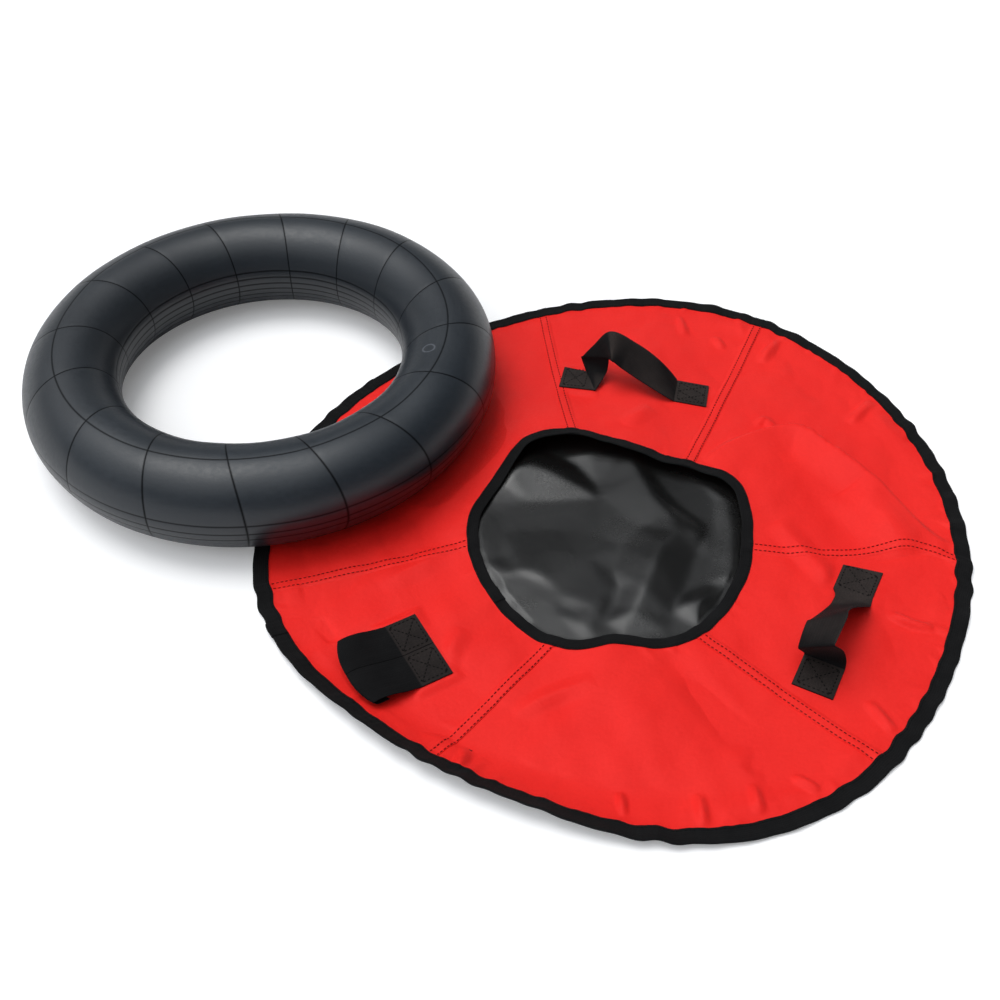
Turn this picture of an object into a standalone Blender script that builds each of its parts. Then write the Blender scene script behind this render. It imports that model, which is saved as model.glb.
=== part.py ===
# Snow tube kit: a sewn round cover, lying empty, with its inflated inner tube resting across one side.
# Metres, +Z up. The origin is the middle of the cover's base, on the ground.
from collections import namedtuple
from math import ceil, cos, pi, radians, sin, sqrt, tau

import bmesh
import bpy
from mathutils import Matrix, Vector
from mathutils.bvhtree import BVHTree

# Gauges of the sewn materials, and the air left between layers
BASE_CLOTH = 0.0010
TOP_CLOTH = 0.0008
TAPE = 0.0007
WEBBING = 0.0020
CLEARANCE = 0.0003
WELD = 0.000001

# Cover outline, its shares taken every 15 degrees from +X
COVER_RADIUS = 0.450
COVER_RADIUS_SHARES = (0.972, 0.982, 0.998, 1.020, 1.036, 1.024, 0.988, 0.952, 0.931, 0.922, 0.939, 0.964,
                       0.991, 1.016, 1.009, 0.987, 0.984, 0.998, 1.036, 1.056, 1.044, 1.009, 0.981, 0.973)
EDGE_TAPE_WIDTH = 0.0190

# The front left edge curls up, shares every 15 degrees from +X
CURL_WIDTH = 0.057
CURL_RISE = 0.023
CURL_SHARES = (0, 0, 0, 0, 0, 0, 0, 0, 0, 0, 0, 0, 0, 0, 0.30, 0.85, 1, 0.95, 0.45, 0.10, 0, 0, 0, 0)

# Rider's opening, shares every 15 degrees round its own centre
OPENING_X = -0.010
OPENING_Y = -0.053
OPENING_RADIUS = 0.1625
OPENING_RADIUS_SHARES = (0.994, 1.056, 1.111, 1.007, 0.921, 0.926, 0.982, 1.111, 1.148, 1.049, 1.007, 1.019,
                         1.000, 0.975, 0.970, 0.982, 1.012, 0.994, 0.921, 0.970, 1.000, 0.975, 0.963, 0.975)
OPENING_TAPE_WIDTH = 0.0145

# The hem stands off the base by these shares, every 30 degrees round the opening
HEM_RISE = 0.026
HEM_SHARES = (0.38, 0.70, 0.77, 1.00, 1.00, 0.46, 0.23, 0.16, 0.16, 0.46, 0.19, 0.19)
HEM_FALL = 2.5

# Six panels meet in felled seams, where a fixture panel laps over each plain neighbour
COVER_SEAM_DEGREES = (59.7, 100.5, 197.1, 238.0, 306.4, 347.6)
OPENING_SEAM_DEGREES = (51.0, 100.7, 182.0, 242.5, 304.0, 354.7)
PANEL_NAMES = ("top_handle_panel", "far_left_panel", "tow_strap_panel",
               "front_panel", "right_handle_panel", "right_panel")
PANEL_COLUMNS = (5, 12, 5, 9, 5, 10)
FELL_WIDTH = 0.012
FELL_STEP = 0.004
PANEL_PUFF = 0.005

# Ridges of the top cloth: two ends in shares of the cover radius, a height and a half width
RIDGE_HEIGHT = 0.007
RIDGE_HALF_WIDTH = 0.045
RIDGE_SHARES = (((0.53, 0.38), (0.86, -0.10)), ((-0.08, -0.66), (0.30, -0.86)), ((-0.70, -0.30), (-0.45, -0.72)))

# Wrinkles of the base seen through the opening, laid out in the same way
WRINKLE_HEIGHT = 0.009
WRINKLE_HALF_WIDTH = 0.042
WRINKLE_SHARES = (((0.10, 0.22), (0.24, -0.02)), ((0.24, -0.04), (0.12, -0.36)), ((-0.34, 0.02), (-0.12, 0.05)),
                  ((-0.30, -0.24), (-0.14, -0.36)))
FLAT_PATCH_RADIUS = 0.045
BASE_ROW_SHARES = (0.20, 0.40, 0.60, 0.80)

# Inner tube, a worn car inner tube on a 15 inch rim's diameter
TUBE_X = -0.4654
TUBE_Y = 0.2198
TUBE_RING_RADIUS = 0.2509
TUBE_RADIUS = 0.0630
TUBE_WALL = 0.0022
TUBE_BED = 0.050
TUBE_SEGMENTS = 56
TUBE_SIDES = 20
CAVITY_SEGMENTS = 40
CAVITY_SIDES = 12

# Webbing straps
WEB_WIDTH = 0.048
SEWN_LENGTH = 0.045
HANDLE_GAP = 0.114
HANDLE_RISE = 0.048
RIBBON_CELLS = 22
STRAP_JOIN_GAP = 0.0004
STRAP_LEAD = 0.005
SEAT_STEPS = 12

# Where a handle is sewn, in shares of the cover radius, and the heading of its run
# Each station: along in half gaps, outward in widths, up in rises, then the heading and dip of the width
HANDLES = {
    "top_handle": {
        "centre_shares": (0.091, 0.536), "heading": -11.6, "split_shares": (0.47, 0.80),
        "station_shares": ((-1.01, 0.10, 0.40, -40, -8), (-0.94, 0.13, 0.80, -12, -6), (-0.66, 0.40, 1.00, -72, -11),
                           (-0.07, 0.42, 0.80, -94, -12), (0.56, 0.24, 0.36, -92, -8))},
    "right_handle": {
        "centre_shares": (0.552, -0.413), "heading": -116.9, "split_shares": (0.32, 0.66),
        "station_shares": ((-0.42, -0.04, 0.34, 122, -3), (0.38, -0.28, 0.82, 122, -3), (0.92, -0.26, 0.96, 120, -4),
                           (1.22, -0.22, 0.90, 122, -3), (1.24, -0.10, 0.52, 106, -2))},
}

# Tow strap: two widths side by side, sewn over their inner part, with a rolled loop at the outer end
TOW_CENTRE_SHARES = (-0.532, -0.493)
TOW_HEADING = 209.3
TOW_SEWN_LENGTH = 0.040
TOW_LOOP_REACH = 0.062
TOW_LOOP_RISE = 0.018
TOW_CELLS = 16
# Side view of the loop: reach and rise shares from the stitched edge, over the roll and back under
TOW_STATION_SHARES = ((0.01, 0.02), (0.30, 0.40), (0.62, 0.90), (0.84, 1.12), (0.97, 0.92), (0.92, 0.50), (0.70, 0.36))

# Tyre valve, on the near inner wall of the tube where the photograph's view doesn't reach
VALVE_AZIMUTH = -100
VALVE_DIP = -15
VALVE_LENGTH = 0.0330
STEM_INSIDE = 0.0040
STEM_ROOT_RADIUS = 0.0055
STEM_SHOULDER_RADIUS = 0.0050
STEM_TIP_RADIUS = 0.00385
STEM_TIP_LENGTH = 0.0110
STEM_BORE_RADIUS = 0.0022
STEM_SHOULDER_STEP = 0.0005
PAD_RADIUS = 0.0150
PAD_TOP_RADIUS = 0.0075
PAD_HEIGHT = 0.0060
PAD_SKIRT = 0.0030
CORE_LENGTH = 0.0204
CORE_SINK = 0.0006
CORE_BORE_RADIUS = 0.00145
CORE_NECK_RADIUS = 0.0009
CORE_NECK_LENGTH = 0.0015
PIN_RADIUS = 0.0006
PIN_PROUD = 0.0002
PIN_DISC_RADIUS = 0.0018
PIN_DISC_HEIGHT = 0.0014
SPRING_RADIUS = 0.00105
SPRING_WIRE_RADIUS = 0.00012
SPRING_TURNS = 6
SPRING_POINTS = 10
SPRING_END_GAP = 0.0010
CAP_DEPTH = 0.0100
CAP_RADIUS = 0.0052
CAP_FLUTE = 0.0003
CAP_TOP = 0.0012
CAP_SIDES = 24
SEAL_RADIUS = 0.0036
SEAL_BORE_RADIUS = 0.0022
SEAL_THICKNESS = 0.0008
TURNED_STEPS = 20

Column = namedtuple("Column", "cover opening across lifted")

for old in list(bpy.data.objects):
    bpy.data.objects.remove(old)

parts = bpy.data.collections.new("snow_tube")
cutters = bpy.data.collections.new("cutters")
bpy.context.scene.collection.children.link(parts)
bpy.context.scene.collection.children.link(cutters)


# Materials and objects

def make_material(name, colour, roughness, metallic=0.0):
    material = bpy.data.materials.new(name)
    material.use_nodes = True
    shader = material.node_tree.nodes["Principled BSDF"]
    shader.inputs["Base Color"].default_value = (*colour, 1.0)
    shader.inputs["Roughness"].default_value = roughness
    shader.inputs["Metallic"].default_value = metallic
    material.diffuse_color = (*colour, 1.0)
    return material


RED_CLOTH = make_material("red_cloth", (0.85, 0.03, 0.02), 0.8)
TARPAULIN = make_material("tarpaulin", (0.03, 0.03, 0.03), 0.45)
BLACK_TAPE = make_material("black_tape", (0.015, 0.015, 0.015), 0.85)
BLACK_WEBBING = make_material("black_webbing", (0.012, 0.012, 0.013), 0.8)
TUBE_RUBBER = make_material("tube_rubber", (0.02, 0.025, 0.035), 0.5)
VALVE_RUBBER = make_material("valve_rubber", (0.02, 0.02, 0.02), 0.6)
BRASS = make_material("brass", (0.75, 0.55, 0.25), 0.3, 1.0)
STEEL = make_material("steel", (0.6, 0.6, 0.6), 0.3, 1.0)
CAP_PLASTIC = make_material("cap_plastic", (0.02, 0.02, 0.02), 0.4)


def add_object(name, mesh, material=None, collection=parts, parent=None):
    thing = bpy.data.objects.new(name, mesh)
    collection.objects.link(thing)
    if material:
        mesh.materials.append(material)
    else:
        thing.hide_render = True
        thing.display_type = "WIRE"
    if parent:
        thing.parent = parent
    return thing


def finish_bmesh(bm, name):
    bmesh.ops.remove_doubles(bm, verts=bm.verts[:], dist=WELD)
    bmesh.ops.recalc_face_normals(bm, faces=bm.faces[:])
    mesh = bpy.data.meshes.new(name)
    bm.to_mesh(mesh)
    bm.free()
    mesh.shade_smooth()
    mesh.set_sharp_from_angle(angle=radians(40))
    return mesh


def cut(thing, cutter):
    modifier = thing.modifiers.new("cut_" + cutter.name, "BOOLEAN")
    modifier.object = cutter
    modifier.solver = "EXACT"


# Curves through hand chosen shares

def around(values, angle):
    # A closed curve through evenly spaced values
    count = len(values)
    position = angle / tau % 1 * count
    start = int(position)
    share = position - start
    a, b, c, d = (values[(start + step) % count] for step in (-1, 0, 1, 2))
    return 0.5 * (2 * b + (c - a) * share + (2 * a - 5 * b + 4 * c - d) * share ** 2
                  + (3 * b - 3 * c + d - a) * share ** 3)


def chord_shares(stations):
    lengths = [0]
    for here, there in zip(stations, stations[1:]):
        lengths.append(lengths[-1] + (there - here).length)
    return [length / lengths[-1] for length in lengths]


def smooth_along(values, shares, share):
    # A curve through unevenly spaced values, each end's slope taken from its one neighbour
    def slope(index):
        sides = [step for step in (-1, 1) if 0 <= index + step < len(values)]
        rates = [(values[index + step] - values[index]) / (shares[index + step] - shares[index]) for step in sides]
        return sum(rates[1:], rates[0]) / len(rates)

    start = max(index for index in range(len(shares) - 1) if shares[index] <= share or index == 0)
    span = shares[start + 1] - shares[start]
    t = (share - shares[start]) / span
    return (values[start] * (2 * t ** 3 - 3 * t ** 2 + 1) + slope(start) * span * (t ** 3 - 2 * t ** 2 + t)
            + values[start + 1] * (3 * t ** 2 - 2 * t ** 3) + slope(start + 1) * span * (t ** 3 - t ** 2))


def clamp(value):
    return min(max(value, 0), 1)


def ground_point(radius, angle, centre=Vector()):
    return centre + Vector((radius * cos(angle), radius * sin(angle), 0))


OPENING_CENTRE = Vector((OPENING_X, OPENING_Y, 0))
TUBE_CENTRE = Vector((TUBE_X, TUBE_Y, 0))
TO_COVER = -TUBE_CENTRE.normalized()


def cover_edge(angle):
    return ground_point(COVER_RADIUS * around(COVER_RADIUS_SHARES, angle), angle)


def opening_edge(angle):
    return ground_point(OPENING_RADIUS * around(OPENING_RADIUS_SHARES, angle), angle, OPENING_CENTRE)


# Layers at the taped edge, from the ground up
EDGE_LIP = TAPE + CLEARANCE
TOP_OVER_BASE = BASE_CLOTH + CLEARANCE
LAP_LIFT = TOP_CLOTH + CLEARANCE
EDGE_STACK = EDGE_LIP + TOP_OVER_BASE + TOP_CLOTH + CLEARANCE + TAPE
TAPE_FOLD = 2 * TAPE
CLOTH_INSET = TAPE_FOLD + CLEARANCE


# The tube leans on the cover's taped edge, so it rises a little towards the cover

def tube_tilt():
    crossing = TUBE_RING_RADIUS
    for step in range(360):
        spot = ground_point(TUBE_RING_RADIUS, radians(step), TUBE_CENTRE)
        if spot.length < cover_edge(Vector((1, 0)).angle_signed(spot.xy) * -1).length:
            crossing = min(crossing, (spot - TUBE_CENTRE).dot(TO_COVER))
    return (EDGE_STACK + CLEARANCE) / (TUBE_RING_RADIUS + crossing)


TUBE_TILT = tube_tilt()


def tube_underside(spot):
    out = spot - TUBE_CENTRE
    nearest = out.normalized() * TUBE_RING_RADIUS
    bottom = TUBE_TILT * (TUBE_RING_RADIUS + nearest.dot(TO_COVER))
    aside = max(0, abs(out.length - TUBE_RING_RADIUS) - TUBE_BED)
    if aside >= TUBE_RADIUS:
        return bottom + TUBE_RADIUS
    return bottom + TUBE_RADIUS - sqrt(TUBE_RADIUS ** 2 - aside ** 2)


# Columns of the cloth run from the opening to the edge, four of them at each seam

def seam_columns(seam):
    cover = radians(COVER_SEAM_DEGREES[seam % 6]) + tau * (seam // 6)
    opening = radians(OPENING_SEAM_DEGREES[seam % 6]) + tau * (seam // 6)
    cover_radius = cover_edge(cover).length
    opening_radius = (opening_edge(opening) - OPENING_CENTRE).length
    if seam % 2 == 0:
        offsets = (-FELL_WIDTH - FELL_STEP, -FELL_WIDTH, 0, FELL_STEP)
    else:
        offsets = (-FELL_STEP, 0, FELL_WIDTH, FELL_WIDTH + FELL_STEP)
    return [Column(cover + offset / cover_radius, opening + offset / opening_radius, 0, place in (1, 2))
            for place, offset in enumerate(offsets)]


def all_columns():
    columns, starts = [], []
    for panel, count in enumerate(PANEL_COLUMNS):
        starts.append(len(columns))
        columns += seam_columns(panel)
        first, last = columns[-1], seam_columns(panel + 1)[0]
        for step in range(1, count + 1):
            share = step / (count + 1)
            columns.append(Column(first.cover + (last.cover - first.cover) * share,
                                  first.opening + (last.opening - first.opening) * share, share, False))
    starts.append(len(columns))
    return columns, starts


COLUMNS, PANEL_STARTS = all_columns()


def column_ends(column):
    return opening_edge(column.opening), cover_edge(column.cover)


def reach_of(column, row):
    share, offset = row
    start, end = column_ends(column)
    return share * (end - start).length + offset


def spot_at(column, reach):
    start, end = column_ends(column)
    return start + (end - start).normalized() * reach


def ridge_height(spot, ridges, height, half_width):
    total = 0
    for start_share, end_share in ridges:
        start = Vector((*start_share, 0)) * COVER_RADIUS
        run = Vector((*end_share, 0)) * COVER_RADIUS - start
        along = clamp((spot - start).dot(run) / run.length_squared)
        distance = (spot - start - run * along).length
        total = max(total, height * cos(pi / 2 * min(distance / half_width, 1)) ** 2)
    return total


# Heights: the edge of both cloths, then the top cloth over the base

def edge_rise(column, reach):
    start, end = column_ends(column)
    inset = (end - start).length - reach
    ramp = clamp((CURL_WIDTH - inset) / (CURL_WIDTH - 2 * EDGE_TAPE_WIDTH))
    curl = CURL_RISE * max(around(CURL_SHARES, column.cover), 0)
    return EDGE_LIP * ramp + curl * clamp(1 - inset / CURL_WIDTH) ** 2


def loft(column, reach):
    start, end = column_ends(column)
    along = clamp(reach / ((end - start).length - CURL_WIDTH))
    spot = spot_at(column, reach)
    hem = HEM_RISE * around(HEM_SHARES, column.opening) * (1 - along) ** HEM_FALL
    puff = PANEL_PUFF * sin(pi * along) * sin(pi * column.across) ** 2
    ridge = ridge_height(spot, RIDGE_SHARES, RIDGE_HEIGHT, RIDGE_HALF_WIDTH) * sin(pi * along)
    free = hem + puff + ridge
    pressed = tube_underside(spot) - TOP_OVER_BASE - TOP_CLOTH - CLEARANCE
    return min(free, max(pressed, 0)) if along < 1 else 0


def top_underside(column, reach, lapped=False):
    lift = LAP_LIFT if lapped and column.lifted else 0
    return edge_rise(column, reach) + TOP_OVER_BASE + loft(column, reach) + lift


# Grids laid on the cover, split along one diagonal so that stacked layers stay parallel

def lay_grid(row_count, column_count, place, outward=lambda row: True):
    bm = bmesh.new()
    bmesh.ops.create_grid(bm, x_segments=row_count - 1, y_segments=column_count - 1, size=1)
    labels = {}
    for vert in bm.verts:
        row = round((vert.co.x + 1) / 2 * (row_count - 1))
        column = round((vert.co.y + 1) / 2 * (column_count - 1))
        labels[vert] = (row, column)
    for vert, (row, column) in labels.items():
        vert.co = place(row, column)
    for face in bm.faces[:]:
        sense = 1 if outward(min(labels[vert][0] for vert in face.verts)) else -1
        corners = sorted(face.verts, key=lambda vert: labels[vert][1] + sense * labels[vert][0])
        bmesh.utils.face_split(face, corners[0], corners[-1])
    bmesh.ops.remove_doubles(bm, verts=bm.verts[:], dist=WELD)
    return bm


def thicken(bm, thickness):
    grown = bmesh.ops.extrude_face_region(bm, geom=bm.faces[:])["geom"]
    top = [item for item in grown if isinstance(item, bmesh.types.BMVert)]
    bmesh.ops.translate(bm, verts=top, vec=(0, 0, thickness))


PANEL_ROWS = ((0, CLOTH_INSET), (0, OPENING_TAPE_WIDTH), (0.26, 0), (0.46, 0), (0.66, 0), (1, -CURL_WIDTH),
              (1, -2 * EDGE_TAPE_WIDTH), (1, -EDGE_TAPE_WIDTH), (1, -CLOTH_INSET))
BASE_EDGE_ROWS = PANEL_ROWS[-4:]


def make_panel(panel, name):
    first = PANEL_STARTS[panel] + 1
    last = PANEL_STARTS[panel + 1] + 2
    is_fixture = panel % 2 == 0

    def place(row, step):
        column = COLUMNS[(first + step) % len(COLUMNS)]
        reach = reach_of(column, PANEL_ROWS[row])
        spot = spot_at(column, reach)
        spot.z = top_underside(column, reach, is_fixture)
        return spot

    bm = lay_grid(len(PANEL_ROWS), last - first + 1, place)
    thicken(bm, TOP_CLOTH)
    return add_object(name, finish_bmesh(bm, name), RED_CLOTH)


def make_base(name):
    inner_rows = len(BASE_ROW_SHARES) + 2

    def place(row, step):
        column = COLUMNS[step % len(COLUMNS)]
        if row >= inner_rows:
            reach = reach_of(column, BASE_EDGE_ROWS[row - inner_rows])
            spot = spot_at(column, reach)
            spot.z = edge_rise(column, reach)
            return spot
        patch = ground_point(FLAT_PATCH_RADIUS, column.cover) if row else Vector()
        if row < 2:
            return patch
        valley = spot_at(column, reach_of(column, BASE_EDGE_ROWS[0]))
        spot = patch.lerp(valley, BASE_ROW_SHARES[row - 2])
        wrinkle = ridge_height(spot, WRINKLE_SHARES, WRINKLE_HEIGHT, WRINKLE_HALF_WIDTH)
        into_opening = 1 - (spot - OPENING_CENTRE).length / OPENING_RADIUS
        spot.z = wrinkle * clamp(3 * into_opening)
        return spot

    bm = lay_grid(inner_rows + len(BASE_EDGE_ROWS), len(COLUMNS) + 1, place)
    thicken(bm, BASE_CLOTH)
    add_object(name, finish_bmesh(bm, name), TARPAULIN)


# A binding's section is a folded tape: inset from the edge and height over the wrapped cloth's underside

def make_binding(name, width, wrapped, reach_from, underside):
    low, high = -CLEARANCE, wrapped + CLEARANCE
    middle = wrapped / 2
    section = ((width, low - TAPE, False), (TAPE, low - TAPE, False), (0, middle, False), (TAPE, high + TAPE, True),
               (width, high + TAPE, True), (width, high, True), (TAPE_FOLD, high, True), (TAPE_FOLD, low, False),
               (width, low, False))

    def place(row, step):
        column = COLUMNS[step % len(COLUMNS)]
        inset, level, over = section[row % len(section)]
        reach = reach_from(column, inset)
        spot = spot_at(column, reach)
        spot.z = underside(column, reach) + level + (LAP_LIFT if over and column.lifted else 0)
        return spot

    def outward(row):
        here, there = section[row % len(section)][0], section[(row + 1) % len(section)][0]
        rising = there > here
        return rising if reach_from(COLUMNS[0], width) > reach_from(COLUMNS[0], 0) else not rising

    bm = lay_grid(len(section) + 1, len(COLUMNS) + 1, place, outward)
    add_object(name, finish_bmesh(bm, name), BLACK_TAPE)


def make_edge_binding():
    wrapped = TOP_OVER_BASE + TOP_CLOTH
    make_binding("edge_binding", EDGE_TAPE_WIDTH, wrapped,
                 lambda column, inset: reach_of(column, (1, -inset)), edge_rise)


def make_opening_binding():
    make_binding("opening_binding", OPENING_TAPE_WIDTH, TOP_CLOTH,
                 lambda column, inset: inset, top_underside)


# Straps: flat sewn ends seated on the cloth, and loose webbing between them

class Seat:
    def __init__(self, panels):
        bpy.context.view_layer.update()
        graph = bpy.context.evaluated_depsgraph_get()
        self.trees = [BVHTree.FromObject(panel, graph) for panel in panels]

    def height(self, x, y):
        above = Vector((x, y, COVER_RADIUS))
        hits = [tree.ray_cast(above, Vector((0, 0, -1)))[0] for tree in self.trees]
        return max(hit.z for hit in hits if hit)

    def frame(self, centre, heading, length, width):
        # A plane through the cloth under the plate, lifted until it clears the highest spot
        along = Vector((cos(heading), sin(heading), 0))
        aside = Vector((-sin(heading), cos(heading), 0))
        shares = [step / SEAT_STEPS - 0.5 for step in range(SEAT_STEPS + 1)]
        spots = [(u * length, v * width) for u in shares for v in shares]
        heights = [self.height(*(centre + along * u + aside * v).xy) for u, v in spots]
        middle = sum(heights) / len(heights)
        rise_along = sum(u * h for (u, v), h in zip(spots, heights)) / sum(u * u for u, v in spots)
        rise_aside = sum(v * h for (u, v), h in zip(spots, heights)) / sum(v * v for u, v in spots)
        lift = max(h - middle - rise_along * u - rise_aside * v for (u, v), h in zip(spots, heights))
        x_axis = (along + Vector((0, 0, rise_along))).normalized()
        z_axis = x_axis.cross(aside + Vector((0, 0, rise_aside))).normalized()
        y_axis = z_axis.cross(x_axis)
        origin = centre + Vector((0, 0, middle + lift + CLEARANCE)) + z_axis * WEBBING / 2
        turn = Matrix((x_axis, y_axis, z_axis)).transposed().to_4x4()
        return Matrix.Translation(origin) @ turn


def make_plate(name, frame, length, width):
    bm = bmesh.new()
    bmesh.ops.create_cube(bm, size=1)
    bmesh.ops.scale(bm, vec=(length, width, WEBBING), verts=bm.verts[:])
    thing = add_object(name, finish_bmesh(bm, name), BLACK_WEBBING)
    thing.matrix_world = frame


def make_ribbon(name, centre_at, width_at, start, end, cells, width, origin):
    bm = bmesh.new()
    bmesh.ops.create_grid(bm, x_segments=cells, y_segments=2, size=1)
    for vert in bm.verts:
        place = start + (end - start) * (vert.co.x + 1) / 2
        vert.co = centre_at(place) + width_at(place) * width * vert.co.y / 2 - origin
    thing = add_object(name, finish_bmesh(bm, name), BLACK_WEBBING)
    thing.location = origin
    solid = thing.modifiers.new("webbing", "SOLIDIFY")
    solid.thickness = WEBBING
    solid.offset = 0


def make_handle(name, seat):
    handle = HANDLES[name]
    heading = radians(handle["heading"])
    along = Vector((cos(heading), sin(heading), 0))
    centre = Vector((*handle["centre_shares"], 0)) * COVER_RADIUS
    outward = Vector((-along.y, along.x, 0))
    outward *= 1 if outward.dot(centre) > 0 else -1
    spread = (HANDLE_GAP + SEWN_LENGTH) / 2
    frames = [seat.frame(centre + along * spread * side, heading, SEWN_LENGTH, WEB_WIDTH) for side in (-1, 1)]
    for side, frame in zip(("first", "second"), frames):
        make_plate(f"{name}_{side}_end", frame, SEWN_LENGTH, WEB_WIDTH)
    roots = [frames[0] @ Vector((SEWN_LENGTH / 2, 0, 0)), frames[1] @ Vector((-SEWN_LENGTH / 2, 0, 0))]
    axis_point = (roots[0] + roots[1]) / 2
    stations, widths = [roots[0]], [frames[0].to_3x3().col[1]]
    for u, v, w, turn, dip in handle["station_shares"]:
        level = roots[0].z + (roots[1].z - roots[0].z) * clamp((u + 1) / 2)
        spot = centre + along * u * HANDLE_GAP / 2 + outward * v * WEB_WIDTH
        stations.append(Vector((spot.x, spot.y, level + w * HANDLE_RISE)))
        yaw = heading + radians(turn)
        flat = Vector((cos(yaw), sin(yaw), 0)) * cos(radians(dip))
        widths.append(flat + Vector((0, 0, sin(radians(dip)))))
    stations.append(roots[1])
    widths.append(frames[1].to_3x3().col[1])
    for place, step, frame in ((0, 1, frames[0]), (-1, -1, frames[1])):
        lead = frame.to_3x3().col[0] * step
        side = widths[place] * (1 if widths[place].dot(widths[place + step]) > 0 else -1)
        stations[place] = stations[place] + lead * STRAP_JOIN_GAP
        widths[place] = side
        inner = 1 if step > 0 else len(stations) - 1
        stations.insert(inner, stations[place] + lead * STRAP_LEAD)
        widths.insert(inner, side)
    shares = chord_shares(stations)

    def centre_at(share):
        return smooth_along(stations, shares, share)

    def width_at(share):
        return smooth_along(widths, shares, share).normalized()

    first_split, second_split = handle["split_shares"]
    gap = STRAP_JOIN_GAP / sum((b - a).length for a, b in zip(stations, stations[1:]))
    pieces = (("first_leg", 0, first_split - gap), ("grip", first_split, second_split),
              ("second_leg", second_split + gap, 1))
    for piece, start, end in pieces:
        cells = ceil(RIBBON_CELLS * (end - start))
        make_ribbon(f"{name}_{piece}", centre_at, width_at, start, end, cells, WEB_WIDTH, axis_point)
    return roots


def make_tow_strap(seat):
    heading = radians(TOW_HEADING)
    along = Vector((cos(heading), sin(heading), 0))
    centre = Vector((*TOW_CENTRE_SHARES, 0)) * COVER_RADIUS
    width = 2 * WEB_WIDTH
    frame = seat.frame(centre, heading, TOW_SEWN_LENGTH, width)
    leg = WEB_WIDTH - CLEARANCE / 2
    for side, name in ((-1, "tow_strap_first_end"), (1, "tow_strap_second_end")):
        shift = Matrix.Translation((0, side * WEB_WIDTH / 2, 0))
        make_plate(name, frame @ shift, TOW_SEWN_LENGTH, leg - CLEARANCE)
    root = frame @ Vector((TOW_SEWN_LENGTH / 2, 0, 0))
    hinge = frame @ Vector((TOW_SEWN_LENGTH / 2, 0, WEBBING / 2))
    x_axis, y_axis, z_axis = (frame.to_3x3().col[index] for index in range(3))
    stations = [root + x_axis * (reach * TOW_LOOP_REACH + STRAP_JOIN_GAP) + z_axis * rise * TOW_LOOP_RISE
                for reach, rise in TOW_STATION_SHARES]
    shares = chord_shares(stations)
    make_ribbon("tow_strap_loop", lambda share: smooth_along(stations, shares, share), lambda share: y_axis,
                0, 1, TOW_CELLS, width, hinge)
    return hinge, -y_axis


# Turned pieces: a closed profile of radius and height, outer side first and running down

def make_turned(name, profile, material, parent, collection=parts):
    mesh = bpy.data.meshes.new(name)
    count = len(profile)
    mesh.from_pydata([(radius, 0, height) for radius, height in profile],
                     [(index, (index + 1) % count) for index in range(count)], [])
    thing = add_object(name, mesh, material, collection, parent)
    screw = thing.modifiers.new("turn", "SCREW")
    screw.steps = TURNED_STEPS
    screw.render_steps = TURNED_STEPS
    screw.use_merge_vertices = True
    screw.merge_threshold = WELD
    screw.use_smooth_shade = True
    return thing


# Inner tube: an outer skin, an air space cut out of it and a bore for the valve

def make_torus(name, radius, segments, sides, material=None, collection=cutters, parent=None):
    bpy.ops.mesh.primitive_torus_add(major_radius=TUBE_RING_RADIUS, minor_radius=radius,
                                     major_segments=segments, minor_segments=sides)
    made = bpy.context.object
    mesh = made.data
    bpy.data.objects.remove(made)
    mesh.name = name
    return add_object(name, mesh, material, collection, parent)


def make_empty(name, matrix, parent=None):
    empty = bpy.data.objects.new(name, None)
    parts.objects.link(empty)
    empty.parent = parent
    empty.matrix_local = matrix
    return empty


def make_inner_tube():
    lean = Matrix.Rotation(-TUBE_TILT, 4, Vector((-TO_COVER.y, TO_COVER.x, 0)))
    height = TUBE_RADIUS + TUBE_RING_RADIUS * TUBE_TILT
    holder = make_empty("tube_holder", Matrix.Translation(TUBE_CENTRE + Vector((0, 0, height))) @ lean)
    tube = make_torus("inner_tube", TUBE_RADIUS, TUBE_SEGMENTS, TUBE_SIDES, TUBE_RUBBER, parts, holder)
    tube.data.shade_smooth()
    cut(tube, make_torus("air_space", TUBE_RADIUS - TUBE_WALL, CAVITY_SEGMENTS, CAVITY_SIDES, parent=holder))
    return holder, tube


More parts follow.
